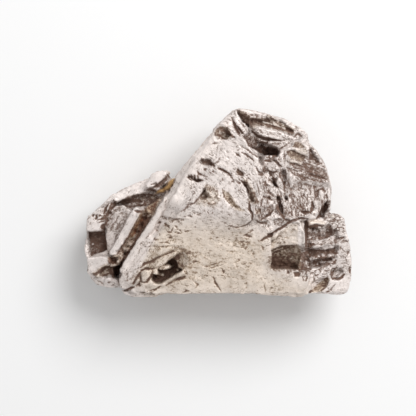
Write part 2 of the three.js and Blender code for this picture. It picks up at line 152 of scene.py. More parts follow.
class Relief:
    """Maps over the lump's footprint, seen from above: how far the surface moves up, and what covers it;
    the oxide layer also holds painted shadow in a few places.
    """

    STEP = 0.06  # mm from one cell to the next
    MARGIN = 1.2  # mm of map round the lump
    LAYERS = ("lift", "oxide", "warm", "rust", "marks", "run_x", "run_y")
    TALLEST_TEAR = 4.5  # mm; a higher step is the lump's own edge
    CHIPPED_EDGE = 0.4  # mm over which a chipped surface fades into what is round it

    def __init__(self, low, high, seed, field):
        self.middle = (low + high) / 2.0
        first, last = (
            np.round((c - self.middle + s * self.MARGIN) / self.STEP) for c, s in ((low, -1.0), (high, 1.0))
        )
        self.x, self.y = (
            np.arange(first[k], last[k], dtype=np.float32) * np.float32(self.STEP) for k in (0, 1)
        )
        self.maps = {name: np.zeros((len(self.x), len(self.y)), np.float32) for name in self.LAYERS}
        self.grid = np.meshgrid(self.x, self.y, indexing="ij")
        self.ground = field.top(*(g + c for g, c in zip(self.grid, self.middle)))
        self.maps["base"] = self.ground.copy()
        self.seed = seed
        # edges wander a little, because metal never tears along a drawn line
        wander = [value_noise([g / 0.9 for g in self.grid], seed + k) for k in (1, 2)]
        finer = [value_noise([g / 0.3 for g in self.grid], seed + k) for k in (3, 4)]
        self.torn = [g + 0.1 * a + 0.05 * b for g, a, b in zip(self.grid, wander, finer)]

    def window(self, points, margin):
        """The part of the map that holds some points, and a margin in mm round them."""
        points = np.asarray(points, float)
        low, high = points.min(0) - margin, points.max(0) + margin
        spans = []
        for axis, a, b in zip((self.x, self.y), low, high):
            spans.append(slice(int(np.searchsorted(axis, a)), int(np.searchsorted(axis, b)) + 1))
        return tuple(spans)

    def line_distance(self, points, spans):
        """Distance to a run of straight lines, and how far along it the nearest point is, from 0 to 1."""
        x, y = (t[spans] for t in self.torn)
        points = np.asarray(points, np.float32)
        lengths = np.hypot(*(points[1:] - points[:-1]).T)
        whole, before = lengths.sum(), 0.0
        nearest = np.full(x.shape, 1e9, np.float32)
        along = np.zeros(x.shape, np.float32)
        for start, end, length in zip(points[:-1], points[1:], lengths):
            run = (end - start) / max(length, 1e-6)
            t = np.clip((x - start[0]) * run[0] + (y - start[1]) * run[1], 0.0, length)
            distance = np.hypot(x - start[0] - t * run[0], y - start[1] - t * run[1])
            closer = distance < nearest
            nearest = np.where(closer, distance, nearest)
            along = np.where(closer, (before + t) / whole, along)
            before += length
        return nearest, along

    def inside(self, outline, soft):
        """The part of the map that an outline covers, and its weight there: 1 inside and 0 outside."""
        spans = self.window(outline, soft + 0.5)
        x, y = (t[spans] for t in self.torn)
        distance, _ = self.line_distance(list(outline) + [outline[0]], spans)
        within = np.zeros(x.shape, bool)
        for (x0, y0), (x1, y1) in zip(outline, list(outline[1:]) + [outline[0]]):
            if y0 == y1:
                continue
            crossing = (y0 > y) != (y1 > y)
            within ^= crossing & (x < (x1 - x0) * (y - y0) / (y1 - y0) + x0)
        signed = np.where(within, distance, -distance)
        return spans, smooth(-soft, soft, signed)

    def cover(self, spans, weight, oxide=None, warm=None, rust=None):
        """Sets what covers the metal in a part of the map, painted shade included, as far as the weight there
        says.
        """
        for name, value in (("oxide", oxide), ("warm", warm), ("rust", rust)):
            if value is not None:
                layer = self.maps[name]
                layer[spans] = mix(layer[spans], value, weight)

    def move(self, outline, height, tilt=(0.0, 0.0), soft=0.12, dome=0.0, **covering):
        """Lifts or sinks what an outline holds, tilted by tilt in mm per mm; dome rounds its middle up."""
        spans, weight = self.inside(outline, soft)
        middle = np.mean(np.asarray(outline, float), 0)
        x, y = (g[spans] - m for g, m in zip(self.grid, middle))
        reach = np.hypot(*(np.ptp(np.asarray(outline, float), 0) / 2.0))
        crown = dome * np.clip(1.0 - (x * x + y * y) / (reach * reach), 0.0, 1.0)
        self.maps["lift"][spans] += weight * (height + tilt[0] * x + tilt[1] * y + crown)
        self.cover(spans, weight, **covering)

    def even_out(self, outline, reach, soft):
        """Melts the steps inside an outline into slopes about reach mm wide."""
        spans, weight = self.inside(outline, soft)
        radius = int(reach / self.STEP / 2.0)
        even = blurred(blurred(self.ground, radius), radius)
        self.maps["base"][spans] += weight * (even - self.ground)[spans]

    def tear(self, reach):
        """Makes the steps of the evened ground wander by about reach mm, and adds the change to the lift."""
        places = []
        for k, g in enumerate(self.grid):
            broad = value_noise([c / 0.95 for c in self.grid], self.seed + 60 + k)
            fine = value_noise([c / 0.4 for c in self.grid], self.seed + 62 + k)
            places.append(g + self.middle[k] + reach * (broad + 0.6 * fine))
        torn = self.read("base", *places)
        own = (self.ground > 0.0) & (torn > 0.0) & (np.abs(torn - self.ground) < self.TALLEST_TEAR)
        self.maps["lift"] += np.where(own, torn - self.ground, 0.0)

    def level(self, outline, height, tilt=(0.0, 0.0), soft=0.12, **covering):
        """Brings what an outline holds to a height in mm above the resting face, tilted by tilt."""
        spans, weight = self.inside(outline, soft)
        x, y = (g[spans] - m for g, m in zip(self.grid, np.mean(np.asarray(outline, float), 0)))
        wanted = height + tilt[0] * x + tilt[1] * y - self.ground[spans]
        self.maps["lift"][spans] = mix(self.maps["lift"][spans], wanted, weight)
        self.cover(spans, weight, **covering)

    def grain(self, outline, angle, marks, soft=0.5):
        """Sets the way that fine marks run, in degrees from the lump's length, and how many there are."""
        spans, weight = self.inside(outline, soft)
        turn = math.radians(angle)
        for name, value in (("marks", marks), ("run_x", math.cos(turn)), ("run_y", math.sin(turn))):
            layer = self.maps[name]
            layer[spans] = mix(layer[spans], value, weight)

    def paint(self, outline, soft=0.4, amount=1.0, **covering):
        """Changes only the colour layers inside an outline: what covers the metal, and painted shade."""
        spans, weight = self.inside(outline, soft)
        self.cover(spans, weight * amount, **covering)

    def groove(self, points, width, depth, oxide, even=False):
        """A crack: a narrow cut that runs thin at its two ends, or an even one."""
        spans = self.window(points, width + 0.4)
        distance, along = self.line_distance(points, spans)
        breadth = width if even else width * (0.35 + 0.65 * np.sin(np.pi * np.clip(along, 0.02, 0.98)))
        # its walls lean, and its stain reaches a little past them
        cut = smooth(breadth * 0.75, breadth * 0.2, distance)
        self.maps["lift"][spans] -= depth * cut
        stain = smooth(breadth * 0.95, breadth * 0.4, distance)
        layer = self.maps["oxide"]
        layer[spans] = np.maximum(layer[spans], oxide * stain)

    def grooves(self, *cracks):
        """Several cracks, each given by its points, width, depth and oxide."""
        for crack in cracks:
            self.groove(*crack)

    def rib(self, points, width, height):
        """A narrow standing edge of bright metal."""
        spans = self.window(points, width + 0.4)
        distance, along = self.line_distance(points, spans)
        weight = smooth(width * 0.7, width * 0.3, distance)
        weight = weight * smooth(0.0, 0.08, along) * smooth(1.0, 0.92, along)
        self.maps["lift"][spans] += height * weight
        self.cover(spans, weight, oxide=0.02)

    def streaks(self, outline, angle, pitch, depth, oxide, length=9.0, soft=0.5, share=0.45, seed=0):
        """Fine parallel grooves and ribs, at an angle in degrees from the lump's length."""
        spans, weight = self.inside(outline, soft)
        x, y = (t[spans] for t in self.torn)
        turn = math.radians(angle)
        along = (x * math.cos(turn) + y * math.sin(turn)) / (pitch * length)
        across = (y * math.cos(turn) - x * math.sin(turn)) / pitch
        bend = 0.6 * value_noise([along * 1.7, across * 0.15], self.seed + seed + 11)
        line = fractal([along, across + bend], self.seed + seed, 2)
        groove = smooth(1.0 - 2.0 * share, 1.3 - 2.0 * share, line)
        self.maps["lift"][spans] -= weight * depth * (groove - 0.3)
        layer = self.maps["oxide"]
        layer[spans] = np.clip(layer[spans] + weight * oxide * (groove - 0.25), 0.0, 1.0)

    def chips(self, outline, size, depth, oxide, crack=0.1, seed=0):
        """A broken surface of small tilted facets, some bright and some stained, with dark joints."""
        spans, weight = self.inside(outline, self.CHIPPED_EDGE)
        traits, offsets, border = cells([t[spans] / size for t in self.torn], self.seed + seed)
        slope_x, slope_y, level, stain = (traits[..., k] - 0.5 for k in range(4))
        facet = (slope_x * offsets[0] + slope_y * offsets[1]) * 1.6 + level
        joint = smooth(crack, 0.0, border)
        self.maps["lift"][spans] += weight * depth * (facet - 0.5 * joint - 0.2)
        layer = self.maps["oxide"]
        change = oxide * (1.6 * np.clip(stain, -0.2, 0.5) + 0.6 * joint)
        layer[spans] = np.clip(layer[spans] + weight * change, 0.0, 1.0)

    def bead(self, x, y, radius, height, soft=0.1, **covering):
        """A round grain that stands out, or a round hole."""
        turns = [2.0 * math.pi * k / 8 for k in range(8)]
        ring = [(x + radius * math.cos(a), y + radius * math.sin(a)) for a in turns]
        self.move(ring, height, soft=soft, dome=0.5 * max(height, 0.0), **covering)

    def beads(self, places, height, **covering):
        """Several grains or holes of one height, each given by its place and its radius."""
        for x, y, radius in places:
            self.bead(x, y, radius, height, **covering)

    def blunt(self, width, height):
        """Cuts down what is narrower than width mm and stands more than height mm over its surroundings."""
        radius = int(round(width / self.STEP / 2.0))
        surface = self.ground + self.maps["lift"]
        broad = spread(spread(surface, radius, np.minimum), radius, np.maximum)
        self.maps["lift"] = np.minimum(surface, broad + height) - self.ground

    def stipple(self, outline, count, radii=(0.1, 0.25), depth=0.25, oxide=0.8, seed=0):
        """Scattered small pits."""
        random = np.random.default_rng(self.seed + seed)
        low, high = np.min(outline, 0), np.max(outline, 0)
        for _ in range(count):
            x, y = low + (high - low) * random.random(2)
            size = mix(radii[0], radii[1], random.random() ** 2)
            turn, stretch = random.random() * math.pi, 1.0 + 1.6 * random.random()
            if not self.holds(outline, x, y):
                continue
            run = size * stretch * np.array([math.cos(turn), math.sin(turn)])
            self.groove([(x - run[0], y - run[1]), (x + run[0], y + run[1])], size, depth, oxide, even=True)

    @staticmethod
    def holds(outline, x, y):
        """Whether a place is inside an outline."""
        within = False
        for (x0, y0), (x1, y1) in zip(outline, list(outline[1:]) + [outline[0]]):
            if (y0 > y) != (y1 > y) and x < (x1 - x0) * (y - y0) / (y1 - y0) + x0:
                within = not within
        return within

    def read(self, name, x, y):
        """A map's value at places in the lump's frame, blended between its four nearest cells."""
        layer = self.maps[name]
        u = np.clip((x - self.middle[0] - self.x[0]) / self.STEP, 0, len(self.x) - 1.001)
        v = np.clip((y - self.middle[1] - self.y[0]) / self.STEP, 0, len(self.y) - 1.001)
        i, j = u.astype(np.int32), v.astype(np.int32)
        u, v = u - i, v - j
        near = mix(layer[i, j], layer[i + 1, j], u)
        far = mix(layer[i, j + 1], layer[i + 1, j + 1], u)
        return mix(near, far, v)


def spread(values, radius, choose):
    """The greatest or least value within radius cells, as choose is np.maximum or np.minimum."""
    for axis in (0, 1):
        values = choose.reduce([np.roll(values, shift, axis) for shift in range(-radius, radius + 1)])
    return values


# The relief of each part of the broken face. Outlines and lines are in mm from the middle of the lump's
# footprint, depths and heights are in mm, and stained metal has oxide near 1, wiped metal near 0; a few
# places use the same layer, near 1, for painted shadow.

LOWER_FACE = [(-10, -3), (4, -4), (8.6, -6), (8.7, -11), (15, -14), (15, -16), (-11, -16), (-15, -12)]
UPPER_PLATES = [(-6, 4), (0, 12), (4, 10), (7.5, 7), (7.5, 2), (4.5, -3), (0, -3), (-4, 0)]


def lay_ground(relief):
    """The broad tones and textures that the smaller features sit in."""
    relief.maps["run_x"] += 1.0
    relief.maps["marks"] += 0.4
    relief.even_out(
        [(-12, -5.4), (-9, -1), (-2, -0.4), (3.4, -1.6), (5, -4.4), (3, -6.4), (-4, -6.2)],
        3.6, 1.2,
    )
    relief.tear(0.16)
    broad = fractal([g / 5.0 for g in relief.grid], relief.seed + 30, 3)
    fine = fractal([g / 0.55 for g in relief.grid], relief.seed + 34, 3)
    relief.maps["lift"] += 0.1 * broad + 0.05 * fine
    relief.maps["oxide"] += 0.04 + 0.1 * smooth(0.15, 0.7, fine) + 0.05 * smooth(0.0, 0.8, broad)
    relief.paint(LOWER_FACE, soft=3.0, warm=0.9)
    relief.streaks(LOWER_FACE, -4, 0.36, 0.03, 0.1, soft=1.5, share=0.4, seed=1)
    relief.stipple(LOWER_FACE, 65, (0.06, 0.15), 0.1, 0.4, seed=5)
    relief.paint(UPPER_PLATES, soft=1.0, amount=0.6, oxide=0.14)
    relief.streaks(UPPER_PLATES, -42, 0.32, 0.03, 0.09, soft=1.0, share=0.35, seed=3)
    relief.stipple(UPPER_PLATES, 60, (0.06, 0.16), 0.12, 0.55, seed=4)


def lay_grain(relief):
    """Which way the crystal plates run in each part of the face, and how marked they are."""
    relief.grain(LOWER_FACE, -6, 0.32, 1.5)
    relief.grain([(-17, -13), (-6.4, 5.4), (0.4, 13), (3, 12), (-5, 1), (-10, -6), (-14, -14)], 58, 0.12)
    relief.grain(UPPER_PLATES, -42, 0.3)
    relief.grain([(0, 13), (4, 16.5), (16, 13), (12, 9), (6, 9), (2.6, 11)], -16, 0.6)
    relief.grain([(7, 7), (11, 6), (11.6, -2.8), (8.6, -5), (5, -3.4)], -62, 0.85)
    relief.grain([(11.4, 8), (17.8, 7.4), (19.2, 2.8), (11.4, 3.4)], -21, 0.95)
    relief.grain([(11.2, 3.6), (19.4, 2.8), (19, -1.6), (14, -2.8), (10.8, -2.6)], -80, 0.9)
    relief.grain([(14.6, -2.6), (22, -1.8), (23, -12), (14.2, -12.6)], 6, 0.6)
    relief.grain([(-14, -14), (-13.6, -9.6), (-6, -7.6), (-4.6, -10), (-9, -14)], 38, 0.6)
    relief.grain([(-23, -14), (-22.6, -1.8), (-14, 3.6), (-8, 6), (-9, 1), (-17, -12)], 40, 0.5)


def head_relief(relief):
    """The head: a dark band under its rim, slabs between cracks, and the deep cavity below them."""
    relief.move(
        [
            (3, 15.4), (4.5, 14.9), (5.3, 14.1), (7.8, 14), (8.2, 14.7), (9, 14), (11.5, 12.8), (12.7, 12.2),
            (12.4, 11.3), (10.2, 12), (7, 12.8), (5.7, 12), (4.5, 13.4), (3.4, 14.6),
        ],
        1.5, soft=0.2, oxide=0.66, warm=0.4,
    )
    band = [(5.4, 14.1), (8.5, 14.1), (12.7, 12.3), (12.4, 11.4), (8.9, 12.7), (5.8, 12.6)]
    relief.chips(band, 0.5, 0.35, 0.35, seed=7)
    relief.streaks(band, -18, 0.32, 0.2, 0.4, seed=8)
    corner = [(3.1, 15.3), (4.6, 14.6), (5.6, 13.9), (5.4, 12.4), (4.4, 13.4)]
    relief.move(corner, -0.5, soft=0.2, oxide=0.92)
    relief.streaks(corner, -50, 0.3, 0.15, 0.4, seed=61)
    relief.rib([(7.2, 13.5), (9.4, 13), (11.4, 12.2)], 0.22, 0.25)
    relief.groove([(5, 14.75), (6.4, 14.2), (8, 14.2)], 0.2, 0.2, 0.7)
    relief.groove([(5.3, 14.6), (7.3, 14.5)], 0.2, 0.3, 0.6)
    # the first slab, under the band, and the second below a long crack
    relief.move(
        [(5.8, 12.2), (6.4, 12.7), (9.5, 12.1), (11.4, 11.3), (12.6, 10.7), (10.6, 10.4), (7.2, 10.9)],
        0.3, oxide=0.05,
    )
    relief.streaks([(5.8, 12.4), (12, 11.2), (11, 9.2), (7, 10)], -12, 0.3, 0.08, 0.35, share=0.35, seed=9)
    relief.groove([(5.6, 11.9), (6.4, 11.1), (7.6, 10.6), (10.4, 10.3)], 0.42, 0.9, 1.0)
    relief.move([(7.4, 10), (10.4, 10.1), (12.1, 10.1), (10.8, 9), (9.2, 9.3)], 0.2, oxide=0.05)
    relief.groove([(6.8, 10.1), (8.4, 10)], 0.25, 0.4, 0.95)
    relief.groove([(8.8, 9.8), (10.1, 9.7)], 0.2, 0.3, 0.85)
    # the brown hollow that leads down to the black cavity
    relief.level(
        [(5, 12), (6.2, 11), (6.9, 9.8), (6.4, 9), (5, 9.4), (4.3, 10.7)],
        12.4, tilt=(-0.5, 0.25), soft=0.25, oxide=0.42,
    )
    relief.chips([(5, 12), (6.6, 10.8), (8, 9.6), (5, 9.3), (4.3, 10.7)], 0.45, 0.4, 0.6, seed=10)
    relief.paint([(4.4, 10.6), (5, 9.4), (6.2, 9), (6.6, 9.7), (5.6, 10.4)], soft=0.3, oxide=0.6)
    relief.move(
        [(6.3, 9), (7.2, 9.6), (9.7, 9.2), (10.2, 8.5), (9.7, 7.5), (8.7, 6.9), (8, 8), (7.2, 8.2)],
        0.4, oxide=1.0,
    )
    relief.chips([(6.3, 9), (9.7, 9.3), (10.2, 8.4), (8.7, 6.8)], 0.7, 0.9, 0.5, seed=12)
    relief.level(
        [(7.7, 7.9), (9.8, 8), (9.6, 7), (9.2, 6.8), (8.9, 7.1), (8.4, 6.7), (8, 7.2)],
        12.9, oxide=0.95,
    )
    relief.beads(
        [(8.2, 7.15, 0.28), (8.9, 7, 0.26), (9.5, 7.3, 0.27), (8, 7.85, 0.26), (8.75, 7.65, 0.25)],
        0.8, oxide=0.0,
    )
    relief.move([(9.7, 7.5), (10.2, 7.6), (10.4, 6.6), (9.9, 6.9)], -0.2, oxide=0.6)
    relief.groove([(8.9, 7.2), (9.7, 6.6), (10.4, 6)], 0.32, 0.5, 0.95)
    relief.groove([(7.8, 7), (8.6, 6.9)], 0.35, 0.5, 0.95, even=True)
    # the wedge at the left, split off by two cracks
    relief.move([(2.9, 15), (5.1, 12.6), (5, 11.3), (4.1, 11.1), (2.5, 13.8)], 0.2, oxide=0.08)
    relief.streaks(
        [(2.9, 15), (5.1, 12.6), (5, 11.2), (3, 11.2), (2.2, 13.8)],
        -55, 0.28, 0.08, 0.5, share=0.4, seed=11,
    )
    relief.grooves(
        ([(2.2, 14), (2.7, 12.9), (3.1, 11.9), (3.5, 11)], 0.42, 0.4, 0.8),
        ([(3.2, 12.6), (3.7, 11.6), (4.4, 11.1)], 0.28, 0.4, 0.9),
        ([(4.3, 11), (5, 9.4), (6.4, 8.8)], 0.3, 0.4, 0.9),
    )
    # the largest pit
    relief.move(
        [(-0.6, 11.9), (0.2, 12.7), (1.5, 12.6), (2.4, 10.9), (1.5, 10.4), (0, 10.7), (-0.7, 11.2)],
        0.7, soft=0.1, oxide=0.62, warm=0.5,
    )
    relief.paint([(-0.2, 11.9), (0.2, 12.5), (1.2, 12.4), (0.9, 11.7)], soft=0.2, oxide=0.85)
    relief.chips([(-0.6, 12), (1.5, 12.7), (2.4, 10.8), (0, 10.6)], 0.45, 0.5, 0.9, seed=14)
    relief.chips(
        [(-1, 12.1), (0.4, 12.9), (1.9, 12.6), (2.6, 10.8), (0, 10.3), (-1, 11)],
        0.4, 0.3, 0.4, seed=13,
    )
    relief.grooves(
        ([(1.7, 11.7), (2.1, 11), (2.6, 10.7)], 0.35, 0.4, 1.0),
        ([(-0.1, 10.7), (1.4, 10.4)], 0.25, 0.3, 0.85),
        ([(-1, 9.8), (0.2, 9.9)], 0.2, 0.2, 0.7),
        ([(12.5, 10.9), (13.1, 11.5), (13.9, 11)], 0.3, 0.35, 0.8),
        ([(9.9, 8.8), (11.2, 9.6), (12.3, 10.3)], 0.2, 0.3, 0.7),
    )


def upper_plate_relief(relief):
    """The high plates: bright, with pits and dark cracks, and a brown seam down their right side."""
    relief.move([(-3.4, 6.9), (-2.8, 7.3), (-1.4, 7.1), (-0.9, 6.2), (-1.7, 6), (-3, 6.4)], 0.3, oxide=0.7)
    relief.chips([(-3.5, 7.3), (-1, 7.2), (-0.7, 5.9), (-3.2, 6.1)], 0.38, 0.45, 0.6, seed=15)
    relief.groove([(-1.7, 6.4), (-1, 6.3), (-0.6, 5.8)], 0.4, 0.4, 0.95)
    relief.move([(-5.3, 4.3), (-4.4, 4.4), (-2.4, 3.6), (-3.4, 3.4), (-4.8, 3.8)], -0.2, oxide=0.95)
    for x in (-5.0, -4.5, -4.0, -3.5):
        relief.groove([(x, 4.5), (x + 0.15, 3.9)], 0.18, 0.3, 1.0, even=True)
        relief.bead(x + 0.3, 4.05, 0.16, 0.35, oxide=0.0)
    relief.groove([(-3.6, 5.3), (-3.4, 4.8), (-2.3, 4.3)], 0.3, 0.3, 0.85)
    relief.groove([(-2.6, 5.5), (-2, 5.4)], 0.2, 0.2, 0.75)
    relief.groove([(-0.9, 5), (-0.5, 4.9)], 0.25, 0.25, 0.8, even=True)
    relief.grooves(
        ([(-0.8, 6.4), (0, 6.8), (0.4, 7.5)], 0.2, 0.25, 0.65),
        ([(-0.2, 5.8), (0.8, 5.3), (1.5, 4.8), (2.3, 3.9)], 0.34, 0.45, 0.9),
        ([(1.2, 8.4), (1.7, 8.1)], 0.15, 0.2, 0.5),
        ([(1.4, 7.4), (2, 7.2)], 0.2, 0.2, 0.5),
    )
    # cracks that run down from the head
    relief.grooves(
        ([(2.8, 8.1), (3.5, 7.5)], 0.34, 0.35, 0.9),
        ([(3.8, 8.3), (5, 7.5), (5.8, 6.8)], 0.26, 0.35, 0.85),
        ([(4.4, 9), (5.6, 8), (6.8, 7.4)], 0.24, 0.3, 0.8),
        ([(3.2, 9.7), (4.4, 8.9)], 0.22, 0.25, 0.7),
        ([(6.1, 5.9), (6.5, 5.2), (7.1, 4.5)], 0.26, 0.35, 0.85),
    )
    relief.groove([(6.6, 4.8), (7.1, 4.6)], 0.5, 0.4, 0.75, even=True)
    # a brown chip, and the seam that starts below it
    relief.level(
        [(3.1, 5.8), (3.4, 5.3), (4.3, 4.7), (4, 4.3), (3.2, 4.6), (2.9, 5)],
        15.1, oxide=0.74, warm=0.7,
    )
    relief.groove([(4.3, 4.5), (4.9, 5)], 0.18, 0.2, 0.5)
    relief.groove([(3.2, 3.3), (3.5, 3.2)], 0.25, 0.3, 0.85, even=True)
    relief.move(
        [
            (3.9, 4), (4.7, 3.8), (5.4, 2.5), (5.9, 1.9), (6.1, 0.9), (6.8, 0.1), (6.1, -0.4), (5, 0),
            (5, 1.6), (4.2, 2.9),
        ],
        0.2, soft=0.2, oxide=0.46, warm=0.5,
    )
    relief.chips(
        [(3.9, 4), (5.4, 2.6), (6.2, 1.2), (6.8, 0), (5, -0.2), (4.2, 2.9)],
        0.45, 0.35, 0.7, seed=16,
    )
    relief.grooves(
        ([(3.4, 3.8), (4.1, 3.2), (4.8, 2.1), (5, 1.4)], 0.28, 0.4, 1.0),
        ([(5.1, 0.3), (5, -1), (5.5, -2), (5.4, -2.8)], 0.34, 0.45, 0.9),
        ([(5.5, -2.8), (4.6, -3.6), (3.6, -4.1), (2.4, -4)], 0.2, 0.25, 0.75),
        ([(0.3, -3.1), (1.4, -3.5), (2.4, -4)], 0.14, 0.15, 0.5),
        ([(2.1, 3.3), (2.9, 3.6)], 0.2, 0.2, 0.6),
        ([(2.5, 1.2), (3.1, 1.9)], 0.13, 0.15, 0.4),
    )
    relief.groove([(5.6, 3.2), (5.7, 3.1)], 0.2, 0.25, 0.8, even=True)
    # the brown lens, and the rough ground beside the tongue
    relief.move(
        [(0.7, 2.3), (1.6, 1.6), (2.6, 0.4), (3.4, -0.8), (4.4, -1.5), (2.8, -1.3), (1.6, -0.2), (0.8, 0.9)],
        0.0, soft=0.2, oxide=0.34, warm=0.8,
    )
    relief.streaks(
        [(0.7, 2.3), (2.6, 0.6), (4.5, -1.5), (1.5, -0.4)],
        -48, 0.3, 0.1, 0.5, share=0.45, seed=17,
    )
    relief.groove([(0.7, 2.3), (0.9, 1), (1.6, 0)], 0.2, 0.25, 0.7)
    relief.groove([(2.7, -0.4), (3.6, -1), (4.4, -1.4)], 0.2, 0.2, 0.6)
    rough = [(-2.9, 1.2), (-2.1, 3), (-1, 2.7), (0, 1.6), (0.2, 0.2), (-1, -0.8), (-3.6, -0.2)]
    relief.move(rough, 0.1, soft=0.4, oxide=0.34, warm=0.5)
    relief.chips(rough, 0.5, 0.2, 0.5, seed=18)
    relief.move([(-2.8, 1.3), (-2.3, 1.5), (-1.9, 0.6), (-2.6, 0.4)], 0.1, soft=0.2, oxide=0.5)
    relief.groove([(-1.9, 1.6), (-1.6, 1), (-1.1, 0.7)], 0.34, 0.3, 0.75)
    relief.groove([(-2.1, 3.2), (-2.2, 2.2), (-3, 1), (-4, -0.1)], 0.3, 0.3, 0.75)
    # the tongue, a smooth plate with a low step at its end
    relief.move(
        [(-7, 2.5), (-2.4, 3.2), (-3, 1), (-4.2, -0.2), (-6, -1.6), (-7.4, -2.9), (-9.6, -2.2)],
        0.12, soft=0.3,
    )
    # the second is a painted shadow under the tongue's low step: a shallow cut stained dark
    relief.grooves(
        ([(-4, -0.1), (-5, -0.4), (-6.1, -1.5)], 0.3, 0.25, 0.6),
        ([(-9.7, -2.1), (-8.4, -2.7), (-7.2, -2.9), (-5.8, -2.8)], 0.5, 0.25, 0.5),
        ([(-5.5, -2.4), (-4.8, -2.1), (-4.4, -2.4)], 0.24, 0.25, 0.65),
    )
    relief.groove([(-3.9, -1.8), (-3, -1.9)], 0.42, 0.15, 0.5, even=True)


def chunk_relief(relief):
    """The torn ground between the high plates and the shoulder: chunks on end, with black gaps."""
    torn = [(7, 6.6), (10.6, 6), (11.6, 3), (11.8, -2.6), (9, -4.6), (6, -3.4), (7.2, 0)]
    relief.chips(torn, 1.0, 0.22, 0.3, seed=20)
    relief.chips(torn, 0.45, 0.12, 0.45, seed=19)
    relief.streaks(torn, -62, 0.34, 0.08, 0.3, share=0.4, seed=21)
    relief.move([(7.2, 5.6), (7.7, 6.2), (8, 5.4), (8, 4.9), (7.4, 5)], -0.3, oxide=0.58)
    # a bright disc with a painted shadow line under it: a crack stained dark
    relief.move(
        [(8, 6), (8.6, 6.6), (9.6, 6.4), (10, 5.7), (9.2, 5.1), (8.3, 5.3)],
        0.35, dome=0.2, oxide=0.02,
    )
    relief.groove([(8, 5.4), (8.8, 5), (9.9, 5.2)], 0.26, 0.45, 0.9)
    relief.groove([(8.4, 5), (8.8, 4.3)], 0.45, 0.4, 0.78)
    relief.move([(8.9, 3.9), (9.8, 4), (9.5, 3.2), (9.9, 2.5), (9, 3)], -0.5, oxide=0.92)
    relief.groove([(8.2, 3.7), (9, 3.2), (9.8, 2.5)], 0.26, 0.4, 0.9)
    relief.groove([(7.6, 3.4), (7.8, 2.9)], 0.34, 0.3, 0.8, even=True)
    relief.grooves(
        ([(8, 1.9), (9, 1.1)], 0.28, 0.35, 0.8),
        ([(7.5, 1), (8.2, 0.8), (8.8, 0.3)], 0.32, 0.35, 0.8),
        ([(7.4, 1.1), (7.1, 0.1), (6.9, -0.8)], 0.24, 0.35, 0.75),
    )
    # tall brown slab and the black triangle under it
    relief.move(
        [(10.2, 5.6), (10.9, 5.6), (11.1, 4.3), (11.4, 3.2), (11.3, 1.2), (10.8, 3), (10.1, 5)],
        -0.15, oxide=0.45,
    )
    relief.groove([(10.3, 5.5), (10.1, 4.6), (10.9, 3), (10.9, 1.4)], 0.22, 0.3, 0.85)
    relief.groove([(11.1, 5.4), (11.2, 4.2), (11.5, 3.2), (11.4, 1.4)], 0.22, 0.3, 0.8)
    relief.move([(11.2, 1.1), (11.8, 0.2), (10.9, 0.2)], 0.1, oxide=0.8)
    # the long black gap, and the crack it ends in
    relief.move(
        [(9.7, 1.7), (10, 1), (10.4, 0.2), (10.1, -0.7), (10.3, -2), (9.8, -1.9), (9.4, -1.1), (9.6, 0.2)],
        0.5, oxide=0.8,
    )
    relief.chips([(9.6, 1.6), (10.4, 0.4), (10.3, -2), (9.6, -1.2)], 0.5, 0.7, 0.7, seed=22)
    relief.groove([(10.3, -1.9), (11, -2.7), (11.7, -3)], 0.36, 0.5, 0.95)
    relief.groove([(10.5, -0.2), (10.6, -1.6)], 0.2, 0.3, 0.8)
    relief.move(
        [(7.9, -0.8), (8.9, -0.3), (8.9, -1.2), (8.2, -2.2), (7.1, -2.8), (8, -1.7)],
        -0.35, oxide=0.62,
    )
    relief.groove([(9, -1.2), (8.2, -2.1), (7, -2.8)], 0.34, 0.45, 0.92)
    relief.move([(6.1, -1), (7, -1), (6.9, -1.8), (6.1, -2)], -0.25, oxide=0.6, warm=0.5)
    relief.groove([(6, -3), (7, -3.4), (8.2, -3)], 0.34, 0.3, 0.7)
    relief.move([(9, -2.9), (10.2, -2.6), (10.9, -2.9), (10.4, -3.9), (9.2, -3.7)], -0.3, oxide=0.56)
    relief.move([(8.5, -2.8), (9.6, -1.6), (10.2, -2.4), (9, -2.9)], 0.15, oxide=0.02)


